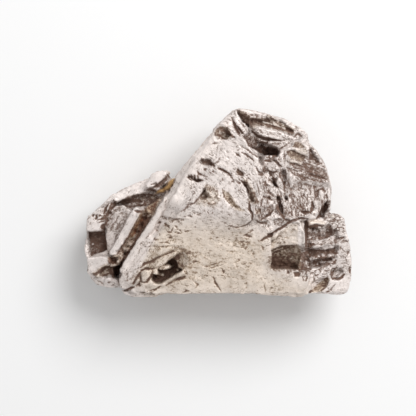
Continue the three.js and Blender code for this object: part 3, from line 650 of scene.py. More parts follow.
def shoulder_relief(relief):
    """The shoulder: greyer and finely ridged, the ridges turning from slanting to upright."""
    top = [(11.6, 7), (14, 6.8), (17.6, 6.6), (18.9, 2.8), (13.6, 2.9), (11.4, 4)]
    foot = [(11.6, 4), (14, 3), (18.9, 2.8), (18.8, -1), (15, -2.6), (10.8, -2.4)]
    relief.paint([(11.4, 7), (16.6, 6.8), (17.8, 4), (17.6, -1), (11.4, -2.6)], soft=0.5, oxide=0.27)
    relief.streaks(top, -21, 0.34, 0.1, 0.55, length=14.0, share=0.5, seed=24)
    relief.chips(top, 0.4, 0.08, 0.16, seed=25)
    relief.streaks(foot, -80, 0.36, 0.08, 0.36, length=12.0, share=0.48, seed=26)
    relief.chips(foot, 0.4, 0.1, 0.12, seed=27)
    # the corner block: brown top, bright slab, smooth brown slab, bright slab
    relief.move([(12.2, 9.2), (12.6, 10), (13.5, 10), (14.4, 9.2), (13.2, 9.1)], -0.3, oxide=0.68, warm=0.6)
    relief.move([(12.4, 9), (14.6, 8.9), (14.8, 8.2), (14.2, 7.8), (12.9, 8.4)], 0.15, oxide=0.03, warm=0.5)
    relief.move([(11.1, 8.5), (12, 8.8), (14.7, 7.6), (14, 6.9), (12, 7.2)], -0.35, oxide=0.56, warm=0.7)
    relief.groove([(11.2, 7.8), (12, 8.7), (14.2, 7.8)], 0.22, 0.25, 0.75)
    relief.move([(11.3, 7.1), (13.8, 6.8), (13.8, 6.3), (11.9, 6.5)], 0.12, oxide=0.05, warm=0.5)
    relief.groove([(11.4, 6.7), (12.4, 6.3), (13.8, 6.1)], 0.34, 0.35, 0.8)
    relief.groove([(10.8, 8.4), (11, 7.2), (10.8, 6.2)], 0.34, 0.3, 0.55)
    relief.move([(15.1, 9.7), (15.8, 8.2), (16.6, 7.2), (16, 6.9), (15, 7.1), (14.9, 8.2)], -0.2, oxide=0.7)
    relief.chips([(15.1, 9.7), (16.6, 7.2), (16, 6.8), (14.9, 7.2)], 0.4, 0.25, 0.5, seed=23)
    relief.groove([(16.1, 7), (16.6, 6.6), (17.2, 6.4)], 0.36, 0.35, 0.85)
    relief.groove([(17.2, 5.6), (17.5, 5), (17.9, 4.9)], 0.3, 0.3, 0.75)
    # the strongest slanting lines
    relief.grooves(
        ([(14.9, 4.8), (16.6, 4.3), (18.2, 3.7)], 0.42, 0.35, 0.8),
        ([(15, 5.7), (16.4, 5.1), (17.1, 4.9)], 0.3, 0.25, 0.65),
        ([(11.2, 5.8), (12.4, 5.4), (13.6, 5)], 0.34, 0.25, 0.6),
        ([(13.2, 3.1), (13.9, 3.8), (15, 4)], 0.26, 0.25, 0.55),
        ([(13, 2.7), (13.3, 2.3), (14.2, 2.3)], 0.28, 0.3, 0.65),
        ([(12, 2.2), (12.6, 2.3)], 0.42, 0.3, 0.65),
    )
    relief.rib([(11.7, 5.2), (12.2, 3.6), (12.2, 2.4)], 0.55, 0.14)
    # standing flakes near the right edge, with black slots between
    relief.move([(15.8, 1.8), (16.6, 2), (16.6, 1.1), (16.2, 0.4), (16, 1.2)], -0.4, oxide=0.78)
    relief.groove([(15.9, 1.8), (17, 2.2), (17.9, 1.9)], 0.26, 0.3, 0.85)
    relief.rib([(17.2, 1.8), (17, 0.6), (16.2, -0.8)], 0.65, 0.2)
    relief.groove([(15.5, 0.2), (15.6, -0.8), (15.3, -1.7)], 0.5, 0.4, 0.8)
    for x, y in ((14.1, 1.3), (14.6, -0.4), (13.5, -0.5), (12.4, 1)):
        relief.groove([(x, y + 0.25), (x + 0.1, y - 0.25)], 0.3, 0.3, 0.8)
    relief.groove([(13.6, -1.4), (14.2, -1.7), (15.1, -1.6)], 0.45, 0.5, 0.98)
    relief.move([(18.2, 0.2), (18.4, -0.7), (17.4, -2.5), (16.9, -2.4), (17.3, -1)], -0.2, oxide=0.97)
    relief.chips([(16.2, -2.6), (17.6, 0.4), (18.9, 0.2), (18.4, -1.6), (17.2, -3)], 0.6, 0.7, 0.7, seed=29)
    relief.grooves(
        ([(16.2, -2.9), (16.9, -2), (17.4, -0.8), (18.2, 0.1)], 0.5, 0.5, 1.0),
        ([(17.9, 1.4), (18.2, 0.4)], 0.3, 0.3, 0.8),
        ([(18.8, 0.6), (18.4, -0.5)], 0.2, 0.2, 0.6),
    )
    # the long crack that parts the shoulder from the pocket
    relief.groove(
        [(14.9, -2.7), (13.6, -2.6), (12.3, -2.9), (11.2, -3.6), (10, -4.4), (8.6, -5.2)],
        0.4, 0.6, 0.97,
    )
    relief.move([(8.1, -5.1), (9, -5.1), (8.8, -5.8), (8.1, -5.8)], -0.4, oxide=0.88)


def pocket_relief(relief):
    """The square-cornered pocket: a tan slab above, falling into a black corner."""
    slab = [
        (8.8, -5.7), (10.2, -4.6), (12, -3.5), (14.1, -3.1), (14.1, -7.5), (13, -7.1), (10.4, -7.3),
        (8.8, -8),
    ]
    relief.move(slab, 0.9, tilt=(-0.05, -0.4), soft=0.2, oxide=0.0, warm=0.6)
    relief.chips(slab, 0.5, 0.12, 0.3, seed=30)
    relief.paint([(8.8, -5.8), (9.4, -5.4), (9.4, -7.6), (8.8, -7.9)], soft=0.3, oxide=0.25, warm=0.9)
    relief.paint([(13.1, -3.3), (14.1, -3.2), (14.1, -7.6), (13.2, -7.1)], soft=0.15, oxide=0.0, warm=0.1)
    relief.groove([(9, -5.8), (10, -5.5), (11.2, -5.9)], 0.2, 0.15, 0.45)
    relief.groove([(10, -4.9), (11.2, -5.2), (12.2, -4.7)], 0.2, 0.15, 0.35)
    # the floor below the slab's edge: brown above, black in the corner
    floor = [(8.8, -8), (10.4, -7.3), (13, -7.1), (13.9, -7.8), (13.7, -11.1), (8.8, -10.9)]
    relief.paint(floor, soft=0.15, oxide=0.58, warm=0.8)
    relief.chips(floor, 0.45, 0.25, 0.5, seed=31)
    relief.paint(
        [(8.6, -8.9), (9.8, -9), (11.4, -9.6), (13.2, -10.7), (12.4, -11.2), (8.6, -10.9)],
        soft=0.5, oxide=1.0,
    )
    relief.groove([(8.8, -8), (10.4, -7.25), (12.9, -7.05)], 0.26, 0.3, 0.85)
    relief.rib([(8.9, -8.35), (9.8, -7.9), (10.9, -7.55)], 0.2, 0.2)
    relief.groove([(8.8, -8.6), (9.9, -8.1), (11.2, -7.8)], 0.24, 0.25, 0.8)
    relief.groove([(11.4, -11), (11.5, -11.6)], 0.3, 0.35, 0.85, even=True)
    relief.groove([(9, -10.8), (11.2, -10.8), (13.6, -11.2)], 0.3, 0.3, 0.95, even=True)
    relief.move([(12.3, -11.5), (13.6, -11.5), (13.4, -12.3), (12.6, -12.3)], -0.5, oxide=0.92)


def right_lobe_relief(relief):
    """The right lobe: bright ledges, like the pages of a book, between dark broken rows."""
    relief.level([(14.3, -3), (14.7, -2.9), (15.1, -3.4), (15, -7.4), (14.4, -7.6)], 11.4, oxide=0.98)
    broken = [(13.6, -8), (14.4, -7.4), (15.1, -7.4), (15.2, -11.1), (13.6, -11.4)]
    relief.level(broken, 11.4, soft=0.3, oxide=0.7)
    relief.chips(broken, 0.5, 0.6, 0.5, seed=33)
    rows = [
        (15, -3.9), (17.8, -4), (18.8, -3.8), (19.3, -5.3), (18.6, -5.9), (19.8, -7.6), (19.9, -8.6),
        (19.6, -10.4), (16, -11), (14.2, -11), (14.9, -8),
    ]
    relief.paint(rows, soft=0.2, oxide=0.58)
    relief.chips(rows, 0.5, 0.5, 0.6, seed=34)
    relief.move([(14.9, -4.4), (17.4, -4.4), (17.2, -6.4), (15, -6.7)], 0.6, soft=0.3, oxide=0.55)
    relief.chips([(14.9, -4.2), (17.4, -4.4), (17.2, -6.4), (15, -6.7)], 0.6, 0.7, 0.5, seed=39)
    # the first ledge, the painted shadow under it, a wedge sunk a little and painted black,
    # and what lies beside them
    relief.move(
        [(15, -3.7), (15, -2.95), (16, -2.8), (17.3, -3), (18.1, -3.6), (17.4, -3.75), (16.3, -3.5)],
        0.3, oxide=0.04, warm=0.6,
    )
    relief.move(
        [(15, -3.8), (16.2, -3.55), (17.7, -3.9), (16.4, -4.1), (15.4, -4.35), (15, -4.3)],
        -0.4, oxide=1.0,
    )
    relief.move([(16.5, -4.3), (17.8, -4.1), (18.1, -4.4), (17.9, -4.75), (17, -4.8)], 0.5, oxide=0.05)
    relief.move([(18.2, -3.75), (18.7, -3.75), (19, -4.5), (18.8, -4.7), (18.5, -4.2)], -0.3, oxide=0.85)
    relief.move([(17.9, -4.9), (18.8, -4.8), (19.4, -5.1), (19.2, -5.6), (17.9, -5.8)], -0.3, oxide=0.8)
    relief.paint([(17.1, -4.9), (17.7, -4.9), (17.7, -5.7), (17.2, -5.6)], soft=0.15, oxide=0.25)
    relief.groove(
        [(19.3, -4.5), (19.9, -4.05), (20.15, -4.2), (20.1, -4.6), (19.4, -4.65)],
        0.2, 0.2, 0.75, even=True,
    )
    # the thin ridge, the dark wedge at its end, and the wide ledge
    relief.rib([(15, -6.65), (16.4, -6.4), (18, -6.15), (19.5, -5.65)], 0.34, 0.5)
    relief.paint([(16.8, -6.5), (18.9, -6), (18.4, -6.9), (17, -6.9)], soft=0.15, oxide=0.3)
    relief.move(
        [
            (18.6, -7.05), (19.1, -6.3), (20, -5.85), (21.2, -5.7), (21, -6.1), (20.4, -6.4), (20, -6.8),
            (19.4, -7),
        ],
        -0.4, oxide=0.75,
    )
    relief.groove([(20.2, -6.8), (20.9, -6.5), (21.6, -6.4)], 0.24, 0.25, 0.7)
    relief.move(
        [
            (15, -7.6), (15.9, -7.1), (17.6, -7), (18.6, -7.1), (19.8, -7.3), (19.2, -7.65), (17.7, -7.8),
            (16.2, -7.8),
        ],
        0.7, oxide=0.0,
    )
    relief.bead(15.45, -7.3, 0.28, -0.4, oxide=0.95)
    # two dark rows with bright grains left in them
    for row in (
        [
            (15, -8), (16.4, -7.9), (19.2, -7.85), (19.9, -8.4), (19.5, -8.8), (18.2, -8.6), (16.8, -8.9),
            (15.2, -9.1),
        ],
        [(16.2, -9.5), (17.2, -9), (18.6, -9.2), (19.2, -9.5), (18.6, -9.75), (17, -9.8)],
    ):
        relief.move(row, 0.2, oxide=0.85)
        relief.chips(row, 0.4, 0.35, 0.8, seed=35)
    relief.rib([(15.4, -9.6), (16.1, -9.35), (16.6, -9.1)], 0.24, 0.5)
    relief.rib([(17, -9.95), (18, -9.95), (18.9, -9.85)], 0.22, 0.35)
    relief.beads(
        [
            (17.5, -8.8, 0.24), (18.6, -8.8, 0.22), (19.05, -8.75, 0.2), (16.8, -9, 0.18),
            (19.35, -9.6, 0.16), (18.8, -10.4, 0.2), (18.3, -10.8, 0.2),
        ],
        0.4, oxide=0.0,
    )
    relief.beads(
        [(19.7, -9.7, 0.2), (19.35, -9.2, 0.16), (19.4, -10, 0.18), (16.95, -10.3, 0.22)],
        -0.35, oxide=0.9,
    )
    relief.groove([(17.2, -10.2), (18.2, -10.4), (18.7, -10.2)], 0.22, 0.25, 0.7)
    # the knotted corner
    relief.paint([(17.2, -1.5), (18.3, -1.8), (18.2, -3.2), (17.5, -2.9)], soft=0.2, oxide=0.45)
    relief.paint([(18.3, -1.7), (20.4, -1.6), (20.4, -3), (18.4, -3.3)], soft=0.2, oxide=0.3)
    relief.move([(18.7, -2.1), (19.4, -2), (19.3, -2.5), (18.8, -2.6)], 0.2, oxide=0.0, warm=0.6)
    relief.grooves(
        ([(18.4, -1.85), (20.35, -1.8), (20.3, -2.7)], 0.26, 0.3, 0.75),
        ([(18.4, -1.9), (18.5, -2.7)], 0.26, 0.3, 0.75),
        ([(18.8, -3.1), (19.4, -2.8), (19.6, -2.2)], 0.26, 0.25, 0.65),
    )
    # small pits and slots of the smooth outer edge
    relief.bead(20.5, -7.4, 0.2, -0.3, oxide=0.85)
    relief.grooves(
        ([(20.3, -7.9), (20.8, -7.7)], 0.3, 0.2, 0.6),
        ([(21.8, -8), (21.5, -8.6)], 0.36, 0.25, 0.6),
        ([(21.6, -9), (21.7, -9.3)], 0.26, 0.2, 0.5),
        ([(22, -10.9), (21.9, -11.8)], 0.3, 0.5, 0.98),
    )
    relief.chips(
        [(14, -11), (19, -10.4), (18.6, -11.4), (15, -12.6), (13.8, -12.4)],
        0.45, 0.2, 0.45, seed=36,
    )
    relief.stipple(
        [(13.9, -11.2), (17, -11.2), (16.6, -12.6), (14, -12.7)],
        18, (0.1, 0.2), 0.3, 0.9, seed=37,
    )
    # the hooked pit and the brown scar
    relief.groove([(19.8, -10.9), (19.1, -11.3), (18.9, -12), (19.1, -12.8)], 0.5, 0.45, 0.82)
    relief.groove([(19.1, -12.8), (20.2, -12.7), (21.1, -11.9)], 0.4, 0.4, 0.85)
    relief.chips([(18.6, -11), (20.8, -10.8), (21.2, -12), (19.2, -13)], 0.4, 0.15, 0.4, seed=38)
    scar = [(15.3, -15), (17, -13.4), (18.3, -12.4), (18.6, -12.9), (18, -14), (17.2, -14.9)]
    relief.move(scar, -0.3, oxide=0.46, warm=0.9)
    relief.groove([(16.9, -14.9), (17.9, -14), (18.5, -13.1)], 0.26, 0.2, 0.62)
    relief.groove([(15.2, -15), (15.6, -14.7)], 0.3, 0.3, 0.9, even=True)
    relief.groove([(18, -15), (18.8, -14.6), (19.5, -13.7)], 0.26, 0.3, 0.75)


def lower_face_relief(relief):
    """The smooth tan lower face, with a few cracks and faint scars."""
    relief.grooves(
        ([(-2.7, -10.6), (-1.6, -10.5), (0.5, -9.7)], 0.26, 0.2, 0.65),
        ([(-1.7, -10.9), (-0.6, -10.6), (0.5, -10.3)], 0.26, 0.2, 0.6),
        ([(0.7, -11.1), (1, -11.6)], 0.34, 0.25, 0.7),
        ([(-0.9, -12.2), (-0.5, -13.3), (0.4, -14.7)], 0.24, 0.35, 0.85),
        ([(-0.9, -11.8), (-0.3, -11)], 0.13, 0.15, 0.45),
        ([(4.2, -5.4), (5.4, -5.6)], 0.4, 0.3, 0.88),
        ([(4.9, -5.1), (5.6, -4.3)], 0.28, 0.25, 0.7),
    )
    relief.paint([(2.4, -6.2), (4.9, -5.8), (5, -6.8), (4.3, -7.8), (2.4, -7.4)], soft=0.4, oxide=0.24)
    relief.chips([(2.4, -6), (5, -5.8), (5, -7.6), (2.4, -7.6)], 0.6, 0.1, 0.4, seed=40)
    relief.grooves(
        ([(3.3, -6.4), (4.9, -6.6), (4.4, -7.6)], 0.24, 0.2, 0.65),
        ([(1.2, -8), (2.5, -8.2)], 0.22, 0.15, 0.5),
        ([(3.5, -8.6), (3.6, -9.4), (2.6, -9.8), (3.1, -11)], 0.26, 0.14, 0.42),
        ([(5.4, -8), (5.9, -9.2)], 0.4, 0.14, 0.4),
        ([(7.2, -7), (7.4, -8)], 0.34, 0.2, 0.52),
        ([(6.9, -6.4), (7.8, -5.8), (8.7, -5.3)], 0.42, 0.4, 0.9),
        ([(-1.9, -6), (-1.1, -5.9)], 0.24, 0.15, 0.55),
        ([(-5.8, -10.7), (-4.6, -10.1), (-3.5, -9.9)], 0.24, 0.2, 0.6),
        ([(-4.2, -13), (-3.5, -13.6), (-3.7, -14.2)], 0.26, 0.25, 0.65),
        ([(-5.9, -14.8), (-4.8, -14.8)], 0.26, 0.2, 0.65),
        ([(7.5, -13.6), (7.8, -14.8)], 0.2, 0.15, 0.55),
        ([(4.6, -13), (4.6, -14.4)], 0.3, 0.1, 0.3),
        ([(11, -12.9), (11.4, -12.8)], 0.2, 0.12, 0.5),
    )
    scarred = [(-5.8, -11), (-2.6, -11.4), (-2.2, -13), (-5.6, -12.8)]
    relief.chips(scarred, 0.7, 0.14, 0.42, seed=41)


def near_corner_relief(relief):
    """The lower end of the long plate: rounded flakes round a black hollow with a bright rod across it."""
    slope = [(-8, -9.5), (-6.8, -8.5), (-5.6, -8.2), (-5, -9.3), (-5.5, -10.7), (-7, -10.9), (-7.3, -10.1)]
    relief.level(slope, 12.7, tilt=(0.45, 0.3), soft=0.3, oxide=0.66)
    around = [(-8, -9.5), (-6.4, -7.6), (-3.6, -8), (-2.6, -10), (-5.4, -11), (-7, -10.9)]
    relief.paint(around, soft=0.8, oxide=0.42)
    relief.streaks(around, -18, 0.34, 0.1, 0.5, soft=0.8, seed=44)
    # painted shade: the shadowed end of the slope, sunk and painted black
    relief.level(
        [(-8.7, -10.6), (-8.2, -9.7), (-7.4, -9.3), (-7, -10), (-6.8, -11), (-7.6, -11.2)],
        10.0, oxide=1.0,
    )
    relief.paint([(-8, -9.5), (-6.6, -8.4), (-5.8, -8.3), (-6.2, -8.9), (-7, -9.6)], soft=0.2, oxide=0.95)
    relief.streaks(slope, -55, 0.34, 0.1, 0.5, soft=0.2, seed=62)
    black = [
        (-8.8, -10.2), (-8, -9.7), (-7.2, -9.9), (-6.6, -10.9), (-6, -11.1), (-6.4, -11.8), (-8, -12.7),
        (-9, -13.4), (-10.6, -13.4), (-11.1, -12.9), (-10.9, -11.9), (-10.2, -11.2),
    ]
    relief.level(black, 9.8, soft=0.15, oxide=1.0)
    relief.chips(black, 0.5, 0.9, 0.4, seed=45)
    # a lid over its far side, bright at one end, and bright grains in it
    relief.level(
        [(-10.2, -10.9), (-9.4, -10.5), (-8.6, -10.35), (-7.4, -10.75), (-8.6, -11.2), (-9.6, -11.3)],
        13.0, oxide=0.3,
    )
    relief.paint([(-9.3, -10.6), (-8.6, -10.35), (-7.4, -10.75), (-8.6, -11.2)], soft=0.15, oxide=0.0)
    relief.beads([(-9.45, -12.15, 0.32), (-6.85, -11.3, 0.24)], 2.6, oxide=0.0)
    # the bright blade on the far side, the greyer strip that it grows from, and their cracks
    relief.paint(
        [(-12.1, -10.2), (-10.9, -9.8), (-9.7, -9.3), (-9.9, -10.4), (-10.9, -10.9), (-12, -10.9)],
        0.2, oxide=0.3,
    )
    relief.level(
        [(-10.8, -10.8), (-9.8, -9.9), (-8.5, -9), (-7.2, -8.25), (-6.9, -8.45), (-8, -9.4), (-8.8, -10.25)],
        13.75, tilt=(0.1, 0.05), oxide=0.0,
    )
    relief.grooves(
        ([(-13, -10.8), (-12.2, -10.1), (-11, -9.7), (-10.2, -9.2), (-9, -8.75)], 0.36, 0.4, 0.9),
        ([(-9.2, -8.75), (-8.2, -8.2), (-7, -8)], 0.34, 0.35, 0.8),
        ([(-12.9, -11.3), (-12, -10.95), (-11.2, -11.05), (-10.6, -10.9)], 0.36, 0.4, 0.95),
    )
    # a brown strip with painted shade over it, between the plate's end and the blade, and streaks across it
    shaded_brown_strip = [
        (-11.2, -9.2), (-9.6, -8.4), (-7.6, -7.6), (-6.2, -7.6), (-6.6, -8.1), (-8.4, -8.2), (-10.2, -9.3),
    ]
    relief.paint(shaded_brown_strip, soft=0.3, oxide=0.34)
    relief.streaks(shaded_brown_strip, 32, 0.3, 0.08, 0.4, seed=49)
    relief.move([(-12.9, -11), (-12.5, -10.5), (-12.1, -10.6), (-12.4, -11)], 0.25, oxide=0.0)
    # rounded flakes with cracks round them
    relief.move(
        [
            (-12.8, -12.7), (-12.8, -11.6), (-12.2, -11.15), (-11.3, -11.15), (-10.9, -11.6), (-11.3, -12.6),
            (-12, -13.1), (-12.6, -13.1),
        ],
        0.25, dome=0.25, oxide=0.0,
    )
    relief.level(
        [(-11, -11.8), (-10.8, -11.1), (-10.3, -11.05), (-9.75, -11.9), (-10, -12.2)],
        13.4, oxide=0.0,
    )
    relief.move(
        [(-14.25, -13.9), (-13.8, -13), (-13.05, -12.15), (-13, -12.7), (-13.6, -13.5)],
        0.25, oxide=0.0,
    )
    relief.move([(-13.9, -13.95), (-13.05, -13), (-12.95, -13.9)], -0.4, oxide=0.95)
    relief.grooves(
        ([(-12.8, -11.4), (-13.15, -11.8), (-13.4, -12.4), (-14.3, -13.6)], 0.38, 0.4, 0.9),
        ([(-12.95, -11.8), (-12.92, -13.1)], 0.3, 0.35, 0.9),
        ([(-10.95, -11.4), (-11.3, -12.5), (-12, -13.2), (-12.8, -13.2)], 0.34, 0.35, 0.95),
        ([(-14, -14), (-14.8, -14.4), (-15.8, -14.75)], 0.45, 0.45, 0.95),
        ([(-12.7, -13.25), (-11.9, -13.25)], 0.16, 0.15, 0.45),
        ([(-11.8, -14.7), (-10.6, -14.5), (-9.4, -13.8)], 0.26, 0.25, 0.75),
    )
    # the rod, and the scar under it
    rod = [(-9.7, -13.5), (-7.4, -12.15), (-5.8, -11.15), (-5.4, -11.6), (-6.9, -12.6), (-9.1, -13.8)]
    relief.level(rod, 13.5, tilt=(0.08, 0.05), oxide=0.0)
    relief.groove([(-8.8, -13.75), (-7.4, -13), (-6.3, -12.4)], 0.3, 0.3, 0.7)
    relief.move([(-7.2, -13), (-6.3, -12.35), (-5.5, -12.1), (-5.5, -12.6), (-6.3, -13)], -0.4, oxide=0.92)
    relief.groove([(-5.7, -11.3), (-5.2, -11.9)], 0.34, 0.3, 0.8)


def long_plate_relief(relief):
    """The long smooth plate: bright, with small marks that lie across it."""
    plate = [
        (-15.6, -14.2), (-17, -11.6), (-6.2, 5.6), (0, 12.4), (1.4, 11), (-5, 2), (-10.6, -6), (-13, -11),
    ]
    relief.paint(plate, soft=0.5, oxide=0.03, warm=0.1)
    low_end = [(-17, -12.2), (-13.4, -6.6), (-9.4, -7.6), (-11, -10.4), (-14.4, -13.8)]
    relief.grain(low_end, 58, 0.45, 0.8)
    relief.paint(low_end, soft=0.8, oxide=0.12)
    relief.stipple(low_end, 40, (0.06, 0.16), 0.1, 0.5, seed=60)
    marked = [(-13, -7), (-9.8, -2.2), (-5.4, -3), (-5.6, -7.6)]
    relief.stipple(marked, 46, (0.08, 0.2), 0.14, 0.7, seed=46)
    relief.streaks(marked, -3, 0.42, 0.08, 0.34, share=0.42, seed=47)
    relief.streaks(
        [(-15.5, -13), (-13, -6.6), (-7, -7.6), (-10, -11)],
        48, 0.42, 0.08, 0.3, share=0.4, seed=48,
    )
    for start, end in (
        ([-10.0, -3.3], [-9.5, -3.2]), ([-8.9, -3.5], [-8.1, -4.1]), ([-7.2, -3.9], [-6.8, -4.0]),
        ([-8.4, -4.9], [-7.8, -4.9]), ([-8.3, -5.9], [-7.6, -5.7]), ([-5.6, -4.8], [-4.9, -4.6]),
    ):
        relief.groove([start, end], 0.28, 0.22, 0.78)
    relief.groove([(-13, -7.3), (-10.4, -7.3), (-8, -7.2), (-6, -7.6)], 0.26, 0.16, 0.5)


def left_lobe_relief(relief):
    """The left lobe: a bright rim, knob, bar and toe around rust-brown hollows."""
    slope = [
        (-19.1, -4.8), (-19, -3.6), (-18.6, -2.2), (-17.9, -1.6), (-17.4, -0.2), (-16.2, -0.1), (-14.7, -1.1),
        (-15.6, -3), (-17.2, -6.4), (-18.5, -8.5), (-19, -8.3),
    ]
    relief.grain(slope, 55, 0.12)
    relief.paint(slope, soft=0.15, oxide=0.26)
    relief.chips(slope, 0.5, 0.1, 0.26, crack=0.05, seed=50)
    relief.streaks(slope, 55, 0.4, 0.05, 0.3, length=5.0, seed=58)
    relief.paint([(-14.9, -1.2), (-15.9, -1.4), (-17, -5.2), (-16.6, -5.4)], soft=0.15, oxide=0.4)
    relief.paint(
        [(-18.9, -4.8), (-17.4, -5.2), (-17.4, -6.6), (-18.5, -8.4), (-19, -8.2)],
        soft=0.3, oxide=0.12,
    )
    # the hollow under the rim, and the trench of broken stones that runs down from it
    under_rim = [(-16.8, 0.1), (-15.4, 0.9), (-14, 1.5), (-10.5, 1.5), (-10, 0.2), (-12, -0.5), (-14.6, -1)]
    relief.move(under_rim, 0.2, oxide=0.85)
    relief.chips(under_rim, 0.9, 0.4, 0.4, seed=51)
    relief.streaks([(-16.8, 0.1), (-13.6, 1.6), (-13, -0.4), (-14.6, -1)], 8, 0.34, 0.3, 0.7, seed=57)
    relief.beads(
        [(-12.7, 0.7, 0.45), (-11, 0.9, 0.5), (-12.9, -0.4, 0.35), (-11.9, 0, 0.3)],
        0.3, soft=0.25, oxide=0.5, warm=0.5,
    )
    trench = [
        (-9.2, 1), (-11.6, -0.4), (-13.2, -1.6), (-15, -5), (-16.8, -8.6), (-18.6, -9.1), (-18.5, -10),
        (-17, -10.8), (-15.7, -9.4), (-13.2, -5.4), (-10.6, -1.6),
    ]
    relief.move(trench, 2.0, soft=0.2, oxide=0.36, warm=0.3, rust=0.2)
    relief.chips(trench, 0.8, 0.6, 0.5, seed=52)
    relief.level(
        [(-9.9, 0.9), (-11.6, -0.4), (-12.6, -1.8), (-11.2, -2), (-10.3, -0.4)],
        9.6, soft=0.3, rust=0.5, oxide=0.72,
    )
    relief.stipple(
        [(-9.8, 0.8), (-12.2, -0.8), (-12.4, -2), (-10.6, -1.6)],
        26, (0.1, 0.2), -0.25, 0.35, seed=55,
    )
    relief.bead(-11.75, -1.5, 0.4, 0.3, oxide=0.2)
    # rounded stones of half-bare metal down its middle, rust against the bar
    relief.beads(
        [
            (-13.6, -4.4, 0.5), (-14.4, -5.7, 0.5), (-14.9, -6.9, 0.42), (-15.5, -7.9, 0.45),
            (-16.3, -8.8, 0.4), (-16, -9.7, 0.35), (-16.9, -9.9, 0.35), (-12.7, -3.2, 0.35),
        ],
        0.4, soft=0.25, oxide=0.1,
    )
    relief.paint([(-13, -2), (-12.8, -2.9), (-14.4, -5.7), (-15, -5.8)], soft=0.2, rust=1.0, oxide=0.8)
    # the painted shadow along the long plate's foot, a sunk dark line, and the plate's edge, which stands
    # straight up
    relief.move(
        [(-12.8, -2.6), (-11.3, -2.4), (-12.5, -4.5), (-14, -6.9), (-15.4, -9), (-15, -7.8), (-13.8, -5.4)],
        -0.3, soft=0.15, oxide=0.95,
    )
    relief.groove([(-14, -6.6), (-15.1, -8.3), (-16.3, -10.3), (-17.4, -12.2)], 0.4, 0.4, 0.98, even=True)
    edge = [
        (-8.5, 2), (-9.6, 0), (-12.1, -4), (-14.7, -8), (-16.8, -11.5), (-15.9, -12.2), (-13.6, -8.8),
        (-11, -4.8), (-9, -1.2),
    ]
    relief.level(edge, 12.95, tilt=(0.05, 0.083), soft=0.2, oxide=0.06, rust=0.0)
    relief.streaks(edge, 58, 0.42, 0.04, 0.2, soft=0.2, seed=59)
    # and the dark line beside the bar
    relief.groove([(-13.5, -2.4), (-14.5, -4.3), (-15.8, -6.8)], 0.42, 0.4, 0.95)
    relief.groove([(-16, -7.1), (-16.9, -8.4), (-17.8, -8.9)], 0.36, 0.4, 0.9)
    relief.move([(-18.6, -9.1), (-17.3, -9.2), (-17.2, -10.4), (-18.4, -10.2)], -0.7, oxide=1.0)
    # golden limonite where the trench runs out at the far edge
    gold = [
        (-10.9, 1.5), (-10, 2.1), (-9, 2.6), (-8.2, 3.6), (-7.2, 4.4), (-7.6, 3.2), (-8.5, 2.1), (-9.5, 1.6),
    ]
    relief.level(gold, 10.4, soft=0.15, oxide=0.3, rust=1.0, warm=1.0)
    # the rim and its knob
    rim = [
        (-19, 0.2), (-15, 3), (-11, 4.6), (-8.6, 6), (-7.8, 5), (-9.6, 3.4), (-10.8, 1.7), (-14, 1.7),
        (-15.5, 1), (-17.2, 0.1),
    ]
    relief.grain(rim, 25, 0.22)
    relief.paint(rim, soft=0.12, oxide=0.02)
    relief.streaks(
        [(-18, 1), (-12, 4), (-11, 2.4), (-15.5, 1.2)],
        25, 0.3, 0.03, 0.08, length=16.0, share=0.35, seed=53,
    )
    relief.level(
        [(-11.2, 2.5), (-10.3, 3.1), (-9.3, 3.9), (-8.3, 5), (-8.1, 4.3), (-8.9, 3.3), (-10, 2.4)],
        10.8, oxide=0.88,
    )
    relief.grooves(
        ([(-11.2, 3), (-10.5, 3.2), (-10.3, 2.6)], 0.32, 0.3, 0.8),
        ([(-12.2, 2.1), (-11.4, 2.3), (-10.6, 1.9)], 0.4, 0.4, 0.9),
        ([(-17.2, 0), (-16.4, -0.1), (-15.4, -0.6), (-14.6, -1.1)], 0.26, 0.3, 0.85),
    )
    # leaves of metal standing side by side
    relief.level(
        [(-19.8, -1.8), (-18.9, 0), (-17.7, 0.5), (-17.4, -0.3), (-18, -1.5), (-18.8, -2.1)],
        10.1, soft=0.2, oxide=0.1,
    )
    for leaf in (
        [(-19.6, -1.7), (-18.8, -0.1)], [(-19, -1.9), (-18.2, -0.1)], [(-18.4, -1.5), (-17.7, 0.3)]
    ):
        relief.rib(leaf, 0.42, 0.3)
    for gap in (
        [(-19.4, -1.9), (-18.5, -0.1)], [(-18.8, -1.9), (-18.1, -0.8), (-18, 0.2)],
        [(-17.6, 0.5), (-17.6, -0.6), (-18.2, -1.6)], [(-17.9, -0.1), (-17.2, 0.3)],
    ):
        relief.groove(gap, 0.3, 0.5, 1.0)
    relief.groove([(-18.3, -1.7), (-19, -2.2), (-19.8, -2.3)], 0.38, 0.5, 0.95)
    relief.groove([(-18.9, -1.4), (-18.2, -1.9), (-17.8, -1.5)], 0.26, 0.3, 0.8)
    # the knob at the left corner
    knob = [
        (-22.2, -4.7), (-22, -2.4), (-20.8, -1.8), (-19.4, -2.4), (-18.8, -3.3), (-19.5, -4.3), (-19.8, -4.9),
    ]
    relief.paint(knob, soft=0.12, oxide=0.02)
    relief.beads(
        [(-20.45, -2.25, 0.2), (-20.4, -2.65, 0.26), (-21, -2.2, 0.2), (-19.9, -2.1, 0.16)],
        -0.5, oxide=1.0,
    )
    relief.grooves(
        ([(-20.1, -2.85), (-19.1, -2.6), (-18.75, -3.1), (-19, -3.6)], 0.38, 0.5, 1.0),
        ([(-19.9, -3.4), (-19.3, -3.1), (-19, -3.3)], 0.26, 0.3, 0.8),
        ([(-19.1, -3.6), (-19.45, -4.1), (-19.35, -4.8)], 0.5, 0.6, 1.0),
        ([(-21.5, -3.2), (-21.5, -3.7)], 0.16, 0.15, 0.45),
    )
